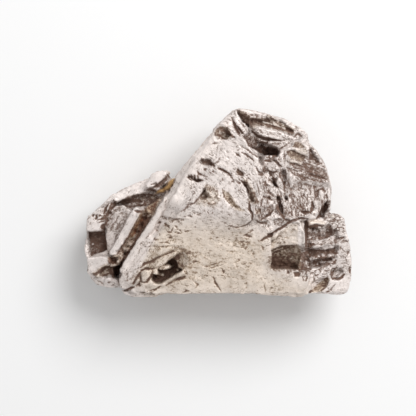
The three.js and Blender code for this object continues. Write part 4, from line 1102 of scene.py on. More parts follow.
    # the square recess, with a paler sill and one bright grain
    recess = [(-22.1, -4.9), (-19.3, -4.9), (-19, -6.4), (-19, -8.1), (-21.7, -9)]
    relief.move(recess, -1.1, soft=0.1, oxide=0.98)
    relief.chips(recess, 0.8, 0.5, 0.4, seed=56)
    relief.paint(
        [(-21.9, -7.8), (-20.9, -7.5), (-20.4, -8), (-20.6, -8.6), (-21.5, -8.9)],
        soft=0.25, oxide=0.62,
    )
    relief.bead(-21.45, -7.15, 0.22, 1.0, oxide=0.0)
    # the bar that stands beside the trench, curled over at its top
    bar = [
        (-18.4, -8.4), (-16.7, -5.2), (-15.1, -2.2), (-14.3, -0.9), (-12.5, -0.6), (-12.4, -1.1),
        (-13.2, -1.9), (-14.5, -4.3), (-16, -6.9), (-17.2, -8.8), (-18.3, -8.8),
    ]
    relief.move(bar, 0.5, soft=0.1, dome=0.2, oxide=0.0, rust=0.0)
    relief.grain(bar, 60, 0.12, 0.1)
    relief.groove([(-13.9, -1.35), (-13.3, -1.5), (-12.6, -1.4)], 0.42, 0.5, 0.98)
    relief.rib([(-14.5, -1.1), (-13.6, -0.85), (-12.4, -0.8)], 0.5, 0.35)
    relief.groove([(-14.7, -0.7), (-13.6, -0.45), (-12.4, -0.45)], 0.26, 0.3, 0.9)
    relief.groove([(-14.6, -1.4), (-16.2, -4.6), (-18.3, -8.2)], 0.16, 0.2, 0.4)
    # the toe: bright above, then a streaked brown scar and a black corner
    toe = [(-22, -9.2), (-18.7, -8.7), (-18.7, -10), (-20.4, -10.9), (-22, -11.8)]
    relief.paint(toe, soft=0.15, oxide=0.02)
    relief.grain(toe, 20, 0.08, 0.2)
    scar = [
        (-21.2, -11.8), (-20, -11), (-18.9, -10.2), (-17.3, -10.5), (-17.2, -12), (-18.2, -12.2),
        (-19.4, -12.4), (-20.6, -12.9),
    ]
    relief.move(scar, 0.5, soft=0.2, oxide=0.45, warm=0.6)
    relief.streaks(scar, 24, 0.32, 0.2, 0.7, share=0.5, seed=54)
    relief.move(
        [(-18.8, -11.4), (-18.2, -10.9), (-16.9, -10.8), (-17.3, -12.1), (-17.6, -12.9), (-18.2, -12.4)],
        -0.5, soft=0.2, oxide=1.0,
    )
    relief.level(
        [(-18.8, -10.2), (-18.2, -10.35), (-17.2, -10.4), (-17.2, -10.75), (-18.2, -10.75)],
        9.6, oxide=0.1,
    )
    relief.groove([(-19.9, -12.5), (-19, -12.2), (-18.2, -11.9)], 0.26, 0.3, 0.8)
    relief.move(
        [(-19.2, -12.9), (-18.8, -12.3), (-18.2, -12.4), (-17.9, -13), (-18.3, -13.6), (-19.1, -13.5)],
        0.4, dome=0.2, oxide=0.04,
    )
    relief.grooves(
        ([(-18.6, -13.4), (-18.1, -13.3)], 0.3, 0.25, 0.7),
        ([(-20.4, -13.2), (-19.6, -13.5), (-19.2, -13.9)], 0.22, 0.15, 0.5),
        ([(-20.8, -13), (-20.2, -12.6)], 0.2, 0.12, 0.4),
    )
    relief.groove([(-22.1, -10.7), (-22.1, -11.3)], 0.22, 0.3, 0.85, even=True)


REGIONS = (
    lay_ground, lay_grain, long_plate_relief, head_relief, upper_plate_relief, chunk_relief, shoulder_relief,
    pocket_relief, right_lobe_relief, lower_face_relief, near_corner_relief, left_lobe_relief,
)


# ------------------------------------------------------------------ the distance field


class Field:
    """Distances to the lump's surface on a grid of voxels, in millimetres, below zero inside the metal."""

    BAND = 11.0  # voxels on each side of the surface that hold true distances
    PAD = 6  # voxels of empty room round those
    FOOT = 0.4  # the lower share of every column, which press leaves as it is

    def __init__(self, node, voxel):
        copy = bmesh.new()
        copy.from_mesh(node.data)
        bmesh.ops.remove_doubles(copy, verts=copy.verts, dist=1e-6)
        bmesh.ops.triangulate(copy, faces=copy.faces)
        points = np.array([v.co[:] for v in copy.verts], np.float32) / MM
        triangles = np.array([[v.index for v in f.verts] for f in copy.faces], np.int32)
        copy.free()
        self.voxel = voxel
        self.transform = openvdb.createLinearTransform(voxelSize=voxel)
        self.fill(points, triangles, np.zeros((0, 4), np.int32))

    def fill(self, points, triangles, quads):
        """Works the distances out from a closed surface."""
        grid = openvdb.FloatGrid.createLevelSetFromPolygons(
            points, triangles=triangles, quads=quads, transform=self.transform, halfWidth=self.BAND
        )
        low, high = grid.evalActiveVoxelBoundingBox()
        self.corner = np.array(low) - self.PAD
        self.values = np.zeros(tuple(np.array(high) - self.corner + self.PAD), np.float32)
        grid.copyToArray(self.values, ijk=tuple(int(v) for v in self.corner))
        self.axes = [(np.arange(n) + c) * self.voxel for n, c in zip(self.values.shape, self.corner)]

    def soften(self, passes):
        """Rounds every edge by about a voxel for each pass."""
        for _ in range(passes):
            for axis in range(3):
                before, after = (np.roll(self.values, s, axis) for s in (1, -1))
                self.values = 0.25 * before + 0.5 * self.values + 0.25 * after

    def bridge(self, low, high):
        """Joins two parts of the lump with a block of metal between two corners, in mm."""
        sides = [
            np.maximum(a - axis, axis - b).reshape([-1 if k == n else 1 for n in range(3)])
            for k, (axis, a, b) in enumerate(zip(self.axes, low, high))
        ]
        block = np.maximum(np.maximum(sides[0], sides[1]), sides[2])
        self.values = np.minimum(self.values, block).astype(np.float32)

    def columns(self):
        """For each column: the heights of the lowest and the highest metal, and whether there is any."""
        metal = self.values < 0
        some = metal.any(2)
        lowest = metal.argmax(2)
        highest = metal.shape[2] - 1 - metal[:, :, ::-1].argmax(2)
        return lowest, highest, some

    def top(self, x, y):
        """The height of the surface seen from above, in mm, at places in the footprint."""
        _, highest, some = self.columns()
        i, j = np.indices(highest.shape)
        above = np.minimum(highest + 1, self.values.shape[2] - 1)
        inner, outer = self.values[i, j, highest], self.values[i, j, above]
        rise = np.where(outer > inner, -inner / np.maximum(outer - inner, 1e-6), 0.0)
        height = np.where(some, self.axes[2][0] + self.voxel * (highest + rise), 0.0).astype(np.float32)
        return sampled(height, self.axes[:2], self.voxel, (x, y)).astype(np.float32)

    def heights_between(self, points, share):
        """The height, in mm, at a share of the way up the column of metal that each point is in."""
        lowest, highest, _ = self.columns()
        i, j = (
            np.clip(np.round((p - axis[0]) / self.voxel).astype(int), 0, len(axis) - 1)
            for p, axis in zip(points[:2], self.axes)
        )
        return self.axes[2][0] + self.voxel * mix(lowest, highest, share)[i, j]

    def press(self, lift):
        """Moves the upper part of every column up by lift, and stretches the metal under it to follow."""
        lowest, highest, some = self.columns()
        middle = np.where(some, mix(lowest, highest, self.FOOT), 0.0)
        height = np.arange(self.values.shape[2], dtype=np.float32)
        source = np.maximum(height - (lift / self.voxel)[:, :, None], middle[:, :, None])
        source = np.clip(source, 0, len(height) - 1.001).astype(np.float32)
        index = source.astype(np.int32)
        part = source - index
        below = np.take_along_axis(self.values, index, 2)
        above = np.take_along_axis(self.values, index + 1, 2)
        upper = height[None, None, :] > middle[:, :, None]
        self.values = np.where(upper, mix(below, above, part), self.values)

    def surface(self):
        """The surface's points, triangles and quads."""
        grid = openvdb.FloatGrid(float(self.BAND * self.voxel))
        grid.transform = self.transform
        corner = tuple(int(v) for v in self.corner)
        grid.copyFromArray(np.ascontiguousarray(self.values), ijk=corner, tolerance=0.0)
        grid.gridClass = openvdb.GridClass.LEVEL_SET
        points, triangles, quads = grid.convertToPolygons(isovalue=0.0, adaptivity=0.0)
        return points, triangles[:, ::-1].astype(np.int32), quads[:, ::-1].astype(np.int32)

    def within(self, points, reach):
        """How far inside the footprint points are: 0 at its edge, 1 from reach mm in."""
        _, _, some = self.columns()
        share = blurred(some.astype(np.float32), max(1, int(reach / self.voxel)))
        return smooth(0.6, 0.98, sampled(share, self.axes[:2], self.voxel, points[:2]))

    def shell(self, reach):
        """The voxels within reach of the surface: their indices, places, and upward lean of the surface."""
        index = np.argwhere(np.abs(self.values) < reach)
        index = index[((index > 0) & (index < np.array(self.values.shape) - 1)).all(1)]
        i, j, k = index.T
        places = [axis[n].astype(np.float32) for axis, n in zip(self.axes, (i, j, k))]
        slopes = []
        for step in ((1, 0, 0), (0, 1, 0), (0, 0, 1)):
            ahead = self.values[i + step[0], j + step[1], k + step[2]]
            behind = self.values[i - step[0], j - step[1], k - step[2]]
            slopes.append(ahead - behind)
        length = np.sqrt(sum(s * s for s in slopes)) + 1e-9
        return (i, j, k), places, slopes[2] / length

    def mesh(self, name):
        """The surface as a Blender mesh in metres, facing outwards."""
        points, triangles, quads = self.surface()
        corners = np.concatenate([triangles.ravel(), quads.ravel()])
        starts = np.concatenate(
            [np.arange(len(triangles)) * 3, len(triangles) * 3 + np.arange(len(quads)) * 4]
        )
        mesh = bpy.data.meshes.new(name)
        mesh.vertices.add(len(points))
        mesh.vertices.foreach_set("co", (points * MM).astype(np.float32).ravel())
        mesh.loops.add(len(corners))
        mesh.loops.foreach_set("vertex_index", corners)
        mesh.polygons.add(len(starts))
        mesh.polygons.foreach_set("loop_start", starts.astype(np.int32))
        mesh.update(calc_edges=True)
        mesh.validate()
        return mesh


def blurred(values, radius):
    """A box blur of radius cells along each axis."""
    width = 2 * radius + 1
    for axis in range(values.ndim):
        padding = [(0, 0)] * values.ndim
        padding[axis] = (radius + 1, radius)
        sums = np.cumsum(np.pad(values, padding, mode="edge"), axis=axis, dtype=np.float32)
        ahead = np.take(sums, range(width, sums.shape[axis]), axis)
        behind = np.take(sums, range(0, sums.shape[axis] - width), axis)
        values = (ahead - behind) / width
    return values


def sampled(values, axes, voxel, points):
    """A grid's values at points, blended between the eight nearest voxels, or four in a flat grid."""
    index, parts = [], []
    for axis, coordinate, size in zip(axes, points, values.shape):
        place = np.clip((coordinate - axis[0]) / voxel, 0, size - 1.001)
        index.append(place.astype(np.int32))
        parts.append(place - index[-1])
    total = 0.0
    for corner in np.ndindex((2,) * values.ndim):
        weight = 1.0
        for bit, part in zip(corner, parts):
            weight = weight * (part if bit else 1.0 - part)
        total = total + weight * values[tuple(i + bit for bit, i in zip(corner, index))]
    return total


# ------------------------------------------------------------------ flanks and underside

# Directions of the four sets of crystal plates, as the faces of an octahedron.
PLATE_SETS = np.array(((0.62, 0.55, 0.56), (-0.71, 0.60, 0.36), (0.10, -0.86, 0.50), (0.05, 0.25, -0.97)))
BLOCK = 6.5  # mm, the size of the flanks' blocks
PLATE_PITCHES = (0.7, 1.9)  # mm from one plate to the next, at the least and at the most


def flank_relief(points, seed):
    """How far the hidden and side surfaces are eaten in, in mm, and how stained they are: big broken blocks,
    each showing the edges of one set of parallel plates, with joints between the blocks."""
    warped = [p + 0.5 * value_noise([q / 2.3 for q in points], seed + k) for k, p in enumerate(points)]
    traits, offsets, border = cells([w / BLOCK for w in warped], seed + 5)
    chosen = (traits[..., 0] * 4).astype(np.int32).clip(0, 3)
    normals = PLATE_SETS[chosen]
    depth_in_set = sum(normals[..., k] * warped[k] for k in range(3))
    pitch = mix(*PLATE_PITCHES, traits[..., 1])
    phase = depth_in_set / pitch + 0.35 * value_noise([w / 1.4 for w in warped], seed + 9)
    within = phase - np.floor(phase)
    plate_random = value_noise([np.floor(phase) * 7.31, chosen * 3.7 + traits[..., 2] * 40.0], seed + 12)
    step = (plate_random * 0.5 + 0.5) * 0.45
    gap = smooth(0.16, 0.02, np.minimum(within, 1.0 - within))
    tilt = (traits[..., 2] - 0.5) * offsets[0] * 0.9 + (traits[..., 3] - 0.5) * offsets[1] * 0.9
    joint = smooth(0.07, 0.0, border)
    rough = fractal([p / 0.55 for p in points], seed + 20, 3)
    eaten = 0.12 + step + 0.26 * gap + 0.3 * joint + tilt + 0.1 * rough
    stain = 0.15 + 0.4 * gap + 0.22 * joint + 0.6 * step + 0.3 * np.clip(rough, 0.0, 1.0)
    return eaten, stain


# ------------------------------------------------------------------ node trees


def linear(hex_colour):
    """An sRGB hex colour as linear red, green, blue and alpha."""
    channels = [int(hex_colour[k : k + 2], 16) / 255.0 for k in (1, 3, 5)]
    return tuple(c / 12.92 if c <= 0.04045 else ((c + 0.055) / 1.055) ** 2.4 for c in channels) + (1.0,)


def add(tree, kind, inputs=None, **settings):
    """Adds a node to a tree. Each input, by name or index, is a plain value or the socket that feeds it."""
    node = tree.nodes.new(kind)
    for name, value in settings.items():
        setattr(node, name, value)
    for key, value in (inputs or {}).items():
        if isinstance(value, bpy.types.NodeSocket):
            tree.links.new(value, node.inputs[key])
        else:
            node.inputs[key].default_value = value
    return node


def number(tree, operation, *values, **settings):
    """The outcome of one arithmetic operation on sockets and plain numbers."""
    return add(tree, "ShaderNodeMath", dict(enumerate(values)), operation=operation, **settings).outputs[0]


def ramp(tree, value, low, high, start=0.0, end=1.0):
    """A value's way from low to high, turned into one from start to end; low may be the greater."""
    ends = {"Value": value, "From Min": low, "From Max": high, "To Min": start, "To Max": end}
    return add(tree, "ShaderNodeMapRange", ends).outputs[0]


def noise(tree, place, scale, **inputs):
    """Noise from 0 to 1; scale is the number of its lumps in a metre."""
    return add(tree, "ShaderNodeTexNoise", {"Vector": place, "Scale": scale, **inputs}).outputs[0]


def blend(tree, share, first, second):
    """One colour mixed into another."""
    return add(tree, "ShaderNodeMix", {"Factor": share, 6: first, 7: second}, data_type="RGBA").outputs[2]


def crystal_grain_tree():
    """The fine rise and fall of the metal's crystal grains, as a node tree that moves a mesh's surface."""
    tree = bpy.data.node_groups.new("crystal grain", "GeometryNodeTree")
    face = tree.interface
    face.new_socket("Lump", in_out="INPUT", socket_type="NodeSocketGeometry")
    for name in ("Grain Height", "Grain Size", "Pit Depth", "Seed"):
        face.new_socket(name, in_out="INPUT", socket_type="NodeSocketFloat")
    face.new_socket("Metal", in_out="INPUT", socket_type="NodeSocketMaterial")
    face.new_socket("Lump", in_out="OUTPUT", socket_type="NodeSocketGeometry")
    given = tree.nodes.new("NodeGroupInput").outputs
    place = add(tree, "GeometryNodeInputPosition").outputs[0]
    inverse = number(tree, "DIVIDE", 1.0, given["Grain Size"])
    grains = add(
        tree, "ShaderNodeTexNoise", {"Vector": place, "W": given["Seed"], "Scale": inverse, "Detail": 2.0},
        noise_dimensions="4D",
    ).outputs[0]
    rise = number(tree, "MULTIPLY", number(tree, "SUBTRACT", grains, 0.5), given["Grain Height"])
    closer = number(tree, "MULTIPLY", inverse, 1.7)
    spots = add(
        tree, "ShaderNodeTexVoronoi", {"Vector": place, "W": given["Seed"], "Scale": closer},
        voronoi_dimensions="4D",
    ).outputs["Distance"]
    pits = number(tree, "MULTIPLY", ramp(tree, spots, 0.22, 0.08), given["Pit Depth"])
    height = number(tree, "SUBTRACT", rise, pits)
    normal = add(tree, "GeometryNodeInputNormal").outputs[0]
    offset = add(tree, "ShaderNodeVectorMath", {0: normal, "Scale": height}, operation="SCALE").outputs[0]
    moved = add(tree, "GeometryNodeSetPosition", {"Geometry": given["Lump"], "Offset": offset}).outputs[0]
    real = add(tree, "GeometryNodeRealizeInstances", {"Geometry": moved}).outputs[0]
    covered = add(tree, "GeometryNodeSetMaterial", {"Geometry": real, "Material": given["Metal"]}).outputs[0]
    add(tree, "NodeGroupOutput", {"Lump": covered})
    return tree


def feed(modifier, values):
    """Sets a node modifier's inputs by their sockets' identifiers."""
    for item in modifier.node_group.interface.items_tree:
        if item.item_type == "SOCKET" and item.in_out == "INPUT" and item.name in values:
            modifier[item.identifier] = values[item.name]


def finished(piece):
    """Applies a piece's modifiers: its mesh becomes what they make, and they go."""
    graph = bpy.context.evaluated_depsgraph_get()
    made = bpy.data.meshes.new_from_object(
        piece.evaluated_get(graph), preserve_all_data_layers=True, depsgraph=graph
    )
    piece.modifiers.clear()
    old, piece.data = piece.data, made
    bpy.data.meshes.remove(old)
    made.name = piece.name


# ------------------------------------------------------------------ the metal


def weathered_nickel_iron(finish):
    """Wire-brushed nickel-iron, about 7% nickel, with brown iron oxide left wherever the brush did not reach.
    The brushed metal is pale and satin, so it takes soft broad highlights; the oxide is dark, matt and barely
    metallic, so cracks and hollows read as drawn lines against it. The same dark colour also paints shade
    into the hollows and a few painted shadows."""
    metal = bpy.data.materials.new("weathered nickel-iron")
    metal.use_nodes = True
    tree = metal.node_tree
    tree.nodes.clear()
    place = add(tree, "ShaderNodeTexCoord").outputs["Object"]
    layers = {
        name: add(tree, "ShaderNodeAttribute", attribute_name=name).outputs["Fac"]
        for name in ("oxide", "warm", "rust", "marks")
    }
    oxide, warm, rust = (layers[name] for name in ("oxide", "warm", "rust"))
    marked = fine_marks(tree, place, layers["marks"])
    clean, tan, brown, red = (
        tuple(colour) + (1.0,)
        for colour in (finish.bright_colour, finish.tan_colour, finish.oxide_colour, finish.rust_colour)
    )

    # speckle about 0.35 mm across breaks up the stain's edge
    speckle = noise(tree, place, 2800.0, Detail=3.0, Roughness=0.6)
    ragged = ramp(tree, speckle, 0.38, 0.62, -0.3, 0.3)
    # flecks about 0.6 mm across, where the oxide has come off and greyer metal shows through
    flecks = noise(tree, place, 1500.0, Detail=4.0, Roughness=0.65)
    ragged = number(tree, "ADD", ragged, ramp(tree, flecks, 0.52, 0.66, 0.0, -0.4))
    # and thick oxide hides them
    ragged = number(tree, "MULTIPLY", ragged, ramp(tree, oxide, 0.8, 1.0, 1.0, 0.45))
    stained = number(tree, "ADD", oxide, ragged, use_clamp=True)
    # the speckle has little say where the metal is wiped clean
    guard = ramp(tree, oxide, 0.0, 0.3, 0.3, 1.0)
    stain = add(tree, "ShaderNodeMix", {"Factor": guard, 2: oxide, 3: stained}, data_type="FLOAT").outputs[0]
    stain = number(tree, "ADD", stain, marked, use_clamp=True)

    # cloudy tarnish, 2 to 4 mm across
    cloud = noise(tree, place, 330.0, Detail=4.0)
    cloudy = ramp(tree, cloud, 0.35, 0.7, 1.04, 0.84)
    shade = number(tree, "MULTIPLY", cloudy, ramp(tree, speckle, 0.32, 0.68, 0.93, 1.06))
    wiped = blend(tree, warm, clean, tan)
    wiped = add(tree, "ShaderNodeVectorMath", {0: wiped, "Scale": shade}, operation="SCALE").outputs[0]
    patina = blend(tree, warm, linear("#A5978F"), linear("#AC9780"))
    deep = blend(tree, rust, brown, red)
    # stained metal, and the painted shade and shadows in the same layer, turn to patina and then to deep
    # brown
    colour = blend(tree, ramp(tree, stain, 0.0, 0.5), wiped, patina)
    colour = blend(tree, ramp(tree, stain, 0.4, 0.95), colour, deep)
    # golden limonite lies over everything where the rust layer is strong and the oxide thin
    gold = number(tree, "MULTIPLY", rust, ramp(tree, stain, 0.75, 0.35))
    colour = blend(tree, gold, colour, linear("#C09A66"))

    metallic = ramp(tree, stain, 0.1, 0.8, 0.28, 0.05)
    matt = ramp(tree, stain, 0.05, 0.6, finish.roughness, 0.8)
    relief = add(tree, "ShaderNodeBump", {"Height": speckle, "Strength": 0.6, "Distance": 0.00013}).outputs[0]
    relief = add(
        tree, "ShaderNodeBump", {"Height": marked, "Strength": 0.7, "Distance": 0.0001, "Normal": relief},
        invert=True,
    ).outputs[0]
    surface = add(
        tree, "ShaderNodeBsdfPrincipled",
        {"Base Color": colour, "Metallic": metallic, "Roughness": matt, "Normal": relief},
    )
    add(tree, "ShaderNodeOutputMaterial", {"Surface": surface.outputs[0]})
    return metal


def fine_marks(tree, place, marks):
    """Short dark dashes that lie the way that the metal's grain runs, and pin pricks among them."""
    run = add(tree, "ShaderNodeAttribute", attribute_name="run").outputs["Vector"]
    up = (0.0, 0.0, 1.0)
    side = add(tree, "ShaderNodeVectorMath", {0: run, 1: up}, operation="CROSS_PRODUCT").outputs[0]
    along, across = (
        add(tree, "ShaderNodeVectorMath", {0: place, 1: way}, operation="DOT_PRODUCT").outputs["Value"]
        for way in (run, side)
    )
    height = add(tree, "ShaderNodeSeparateXYZ", {0: place}).outputs[2]
    turned = add(tree, "ShaderNodeCombineXYZ", {0: along, 1: across, 2: height}).outputs[0]
    # dashes about 0.15 mm wide and two to five times as long
    dashes = add(tree, "ShaderNodeMapping", {"Vector": turned, "Scale": (1600.0, 4200.0, 2400.0)}).outputs[0]
    dashes = noise(tree, dashes, 1.0, Detail=4.0, Distortion=1.2)
    # they gather in patches about 3 mm across
    patches = noise(tree, place, 420.0, Detail=2.0)
    share = number(tree, "MULTIPLY_ADD", marks, 0.14, ramp(tree, patches, 0.35, 0.65, 0.0, 0.12))
    drawn = ramp(tree, number(tree, "ADD", dashes, share), 0.66, 0.86, 0.0, 0.8)
    pricks = add(tree, "ShaderNodeTexVoronoi", {"Vector": place, "Scale": 1300.0}).outputs["Distance"]
    pricked = number(tree, "MULTIPLY", ramp(tree, pricks, 0.19, 0.1, 0.0, 0.4), marks)
    return number(tree, "MAXIMUM", drawn, pricked)


# ------------------------------------------------------------------ settings


class MeteoriteLumpSettings(bpy.types.PropertyGroup):
    """How finely and how deeply the lump is carved."""

    voxel: FloatProperty(
        name="Carving Step", description="Width of one voxel of the carving", default=0.12 * MM, min=0.1 * MM,
        max=0.5 * MM, precision=5, unit="LENGTH",
    )
    relief_scale: FloatProperty(
        name="Relief", description="Depth of the carved relief, as a share of the full depth", default=1.0,
        min=0.0, max=2.0, subtype="FACTOR",
    )
    flank_depth: FloatProperty(
        name="Flank Depth", description="How far the broken blocks of the flanks are eaten in",
        default=0.75 * MM, min=0.0, max=2.0 * MM, precision=5, unit="LENGTH",
    )
    grain_height: FloatProperty(
        name="Grain Height", description="Rise of the crystal grains", default=0.07 * MM, min=0.0,
        max=0.4 * MM, precision=5, unit="LENGTH",
    )
    grain_size: FloatProperty(
        name="Grain Size", description="Width of the crystal grains", default=0.9 * MM, min=0.2 * MM,
        max=4.0 * MM, precision=5, unit="LENGTH",
    )
    seed: IntProperty(name="Seed", description="Seed of everything random in the lump", default=7, min=0)


class MeteoriteFinishSettings(bpy.types.PropertyGroup):
    """Colours and gloss of the metal."""

    bright_colour: FloatVectorProperty(
        name="Brushed Metal", description="Colour of clean nickel-iron", subtype="COLOR", min=0.0, max=1.0,
        default=linear("#F0E6E1")[:3],
    )
    tan_colour: FloatVectorProperty(
        name="Tan Metal", description="Colour of lightly tarnished metal", subtype="COLOR", min=0.0, max=1.0,
        default=linear("#E9DACB")[:3],
    )
    # this colour also paints the shade in hollows and the painted shadows
    oxide_colour: FloatVectorProperty(
        name="Oxide", description="Colour of the oxide in cracks and hollows", subtype="COLOR", min=0.0,
        max=1.0, default=linear("#6C5245")[:3],
    )
    rust_colour: FloatVectorProperty(
        name="Rust", description="Colour of fresh rust", subtype="COLOR", min=0.0, max=1.0,
        default=linear("#8C5C40")[:3],
    )
    roughness: FloatProperty(
        name="Roughness", description="Roughness of the brushed metal", default=0.55, min=0.05, max=1.0,
        subtype="FACTOR",
    )


class MeteoriteStageSettings(bpy.types.PropertyGroup):
    """The floor, the lights and the camera."""

    floor_colour: FloatVectorProperty(
        name="Floor", description="Colour of the floor", subtype="COLOR", min=0.0, max=1.0,
        default=linear("#F4F4F4")[:3],
    )
    key_power: FloatProperty(
        name="Key Light", description="Power of the large soft light", default=1.15, min=0.0, unit="POWER"
    )
    lens: FloatProperty(
        name="Lens", description="Focal length in millimetres", default=120.0, min=20.0, max=300.0,
    )
    view_width: FloatProperty(
        name="View Width", description="Width of what the camera takes in at the lump's upper face",
        default=69.3 * MM, min=0.01, unit="LENGTH", precision=4,
    )


# ------------------------------------------------------------------ operators

UPPER_HALF = 0.45  # where the upper half begins, as a share of the height of each column of metal


def lift_of_columns(relief, field, ceiling):
    """The relief's lift for every column of the field; nothing rises over the ceiling, in mm."""
    x, y = (g.astype(np.float32) for g in np.meshgrid(field.axes[0], field.axes[1], indexing="ij"))
    room = ceiling - field.top(x, y)
    return np.minimum(relief.read("lift", x, y), room)


def vertex_places(mesh):
    """Where a mesh's vertices are, in mm, and how far the surface there faces up, from -1 to 1."""
    flat = np.zeros(len(mesh.vertices) * 3, np.float32)
    mesh.vertices.foreach_get("co", flat)
    points = [c / MM for c in flat.reshape(-1, 3).T]
    mesh.vertices.foreach_get("normal", flat)
    return points, flat.reshape(-1, 3)[:, 2].copy()


def upper_share(field, points):
    """1 where a point is in the upper half of the lump, and 0 in its foot."""
    return smooth(-0.6, 0.6, points[2] - field.heights_between(points, UPPER_HALF))


def face_share(field, points):
    """1 where a point is among the broken face's hollows, whichever way it leans, and 0 on the flanks."""
    return upper_share(field, points) * field.within(points, 1.2)


class METEORITE_OT_lump(bpy.types.Operator):
    """Carves the lump from the CAD solid and gives it its metal"""

    bl_idname = "meteorite.lump"
    bl_label = "Carve Lump"

    FACE_THINNING = 0.0625  # how readily the broken face is thinned, beside 1 elsewhere
    FACE_FINENESS = 2e-4  # how much that readiness counts
    QUICK_COARSENESS = 1.8
    SPIKE = (0.5, 0.35)  # mm; what is narrower than the first may stand out no more than the second
    DEEPEST_BITE = 1.1  # mm
    HEADROOM = 0.05  # mm left under the solid's top for the crystal grains
    WEB = ((-8.9, 1.2, 3.0), (-6.9, 4.2, 9.2))  # the web between the left lobe's tip and the long plate
    FLANK_MARKS = 0.45  # how many fine marks the flanks have, where the broken face has what its maps say

    def execute(self, context):
        sizes = context.scene.meteorite_lump
        coarseness = 1.0
        field = Field(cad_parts["meteorite"], sizes.voxel / MM * coarseness)
        field.bridge(*self.WEB)
        field.soften(1)
        low, high = (np.array(corner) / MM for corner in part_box("meteorite"))
        relief = Relief(low, high, sizes.seed, field)
        for region in REGIONS:
            region(relief)
        relief.blunt(*self.SPIKE)
        relief.maps["lift"] *= sizes.relief_scale
        field.press(lift_of_columns(relief, field, high[2] - self.HEADROOM))
        field.fill(*field.surface())
        self.eat_flanks(field, sizes)
        floor = -field.axes[2].astype(np.float32)
        field.values = np.maximum(field.values, floor[None, None, :])

        lump = bpy.data.objects.new("meteorite_lump", field.mesh("meteorite_lump"))
        context.scene.collection.objects.link(lump)
        metal = weathered_nickel_iron(context.scene.meteorite_finish)
        grain = lump.modifiers.new("crystal grain", "NODES")
        grain.node_group = crystal_grain_tree()
        feed(grain, {
            "Grain Height": sizes.grain_height, "Grain Size": sizes.grain_size,
            "Pit Depth": sizes.grain_height * 0.5, "Seed": float(sizes.seed), "Metal": metal,
        })
        self.thin_out(lump, field)
        finished(lump)
        self.stand(lump.data)
        lump.vertex_groups.clear()
        lump.data.shade_smooth()
        self.stain(lump.data, relief, field, sizes)
        lump.data.materials.clear()
        lump.data.materials.append(metal)
        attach(lump, "root")
        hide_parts("meteorite")
        return {"FINISHED"}

    def stand(self, mesh):
        """Brings what the crystal grains pushed below the resting face back up to it."""
        places = np.zeros(len(mesh.vertices) * 3, np.float32)
        mesh.vertices.foreach_get("co", places)
        places[2::3] = np.maximum(places[2::3], 0.0)
        mesh.vertices.foreach_set("co", places)
        mesh.update()

    def thin_out(self, lump, field):
        """Decimates the lump; the broken face keeps finer triangles than the flanks and the underside."""
        points, lean = vertex_places(lump.data)
        face = (points[2] > field.heights_between(points, 0.5)) & (lean > 0.2)
        fine = lump.vertex_groups.new(name="thinned")
        fine.add(np.flatnonzero(face).tolist(), self.FACE_THINNING, "REPLACE")
        fine.add(np.flatnonzero(~face).tolist(), 1.0, "REPLACE")
        thin = lump.modifiers.new("thin out", "DECIMATE")
        thin.ratio = min(1.0, TRIANGLES / sum(len(p.vertices) - 2 for p in lump.data.polygons))
        thin.vertex_group = fine.name
        thin.vertex_group_factor = self.FACE_FINENESS

    def eat_flanks(self, field, sizes):
        """Breaks the flanks and the underside into blocks and plates, and leaves the broken face as it is."""
        index, points, lean = field.shell(self.DEEPEST_BITE)
        side = smooth(0.25, -0.1, lean)
        index, points = (tuple(values[side > 0.0] for values in group) for group in (index, points))
        side = side[side > 0.0] * (1.0 - face_share(field, points))
        eaten, _ = flank_relief(points, sizes.seed)
        # the resting face only gets shallow marks, so that it stays a face
        standing = mix(0.25, 1.0, smooth(0.1, 0.9, points[2]))
        bite = np.clip(eaten * sizes.flank_depth / MM, 0.0, self.DEEPEST_BITE)
        field.values[index] += side * standing * bite

    def stain(self, mesh, relief, field, sizes):
        """Stores on the mesh what covers the metal at each point, with painted shade in its hollows."""
        points, lean = vertex_places(mesh)
        # how much metal is round each point, close by and farther off: -1 is none, 1 is all
        metal = (field.values < 0).astype(np.float32)
        near = 2.0 * sampled(blurred(metal, 2), field.axes, field.voxel, points) - 1.0
        wide = 2.0 * sampled(blurred(metal, 7), field.axes, field.voxel, points) - 1.0
        upper = upper_share(field, points)
        face = np.maximum(smooth(-0.05, 0.12, lean) * upper, face_share(field, points))
        eaten_stain = np.zeros(len(face), np.float32)
        side = face < 1.0
        _, eaten_stain[side] = flank_relief([p[side] for p in points], sizes.seed)
        read = {name: relief.read(name, points[0], points[1]) for name in relief.LAYERS[1:]}
        # rust settles in hollows, and the hollow term, a measure of occlusion, also paints shade into them;
        # edges are worn bright
        hollow = 0.5 * smooth(0.12, 0.6, near) + 0.45 * smooth(0.1, 0.6, wide)
        worn = 0.5 * smooth(-0.1, -0.55, near)
        oxide_face = read["oxide"] + hollow * 0.3 - worn * 0.6 * (1.0 - 0.75 * read["oxide"])
        oxide_side = 0.08 + 0.6 * eaten_stain + hollow * 0.7 - worn * 0.9
        oxide_side = np.maximum(oxide_side, 0.85 * upper * read["oxide"])
        oxide = mix(oxide_side, oxide_face, face)
        tan = 0.35 + 0.35 * value_noise([p / 6.0 for p in points], sizes.seed + 80)
        rusty = 0.25 * smooth(0.2, 0.8, value_noise([p / 4.0 for p in points], sizes.seed + 81))
        covers = {
            "oxide": oxide,
            "warm": mix(tan, read["warm"], face),
            "rust": mix(rusty, read["rust"], face),
            "marks": mix(self.FLANK_MARKS, read["marks"], face),
        }
        for name, values in covers.items():
            layer = mesh.attributes.new(name, "FLOAT", "POINT")
            layer.data.foreach_set("value", np.clip(values, 0.0, 1.0).astype(np.float32))
        run = np.zeros((len(lean), 3), np.float32)
        run[:, 0] = mix(0.3, read["run_x"], face)
        run[:, 1] = mix(0.9, read["run_y"], face)
        mesh.attributes.new("run", "FLOAT_VECTOR", "POINT").data.foreach_set("vector", run.ravel())


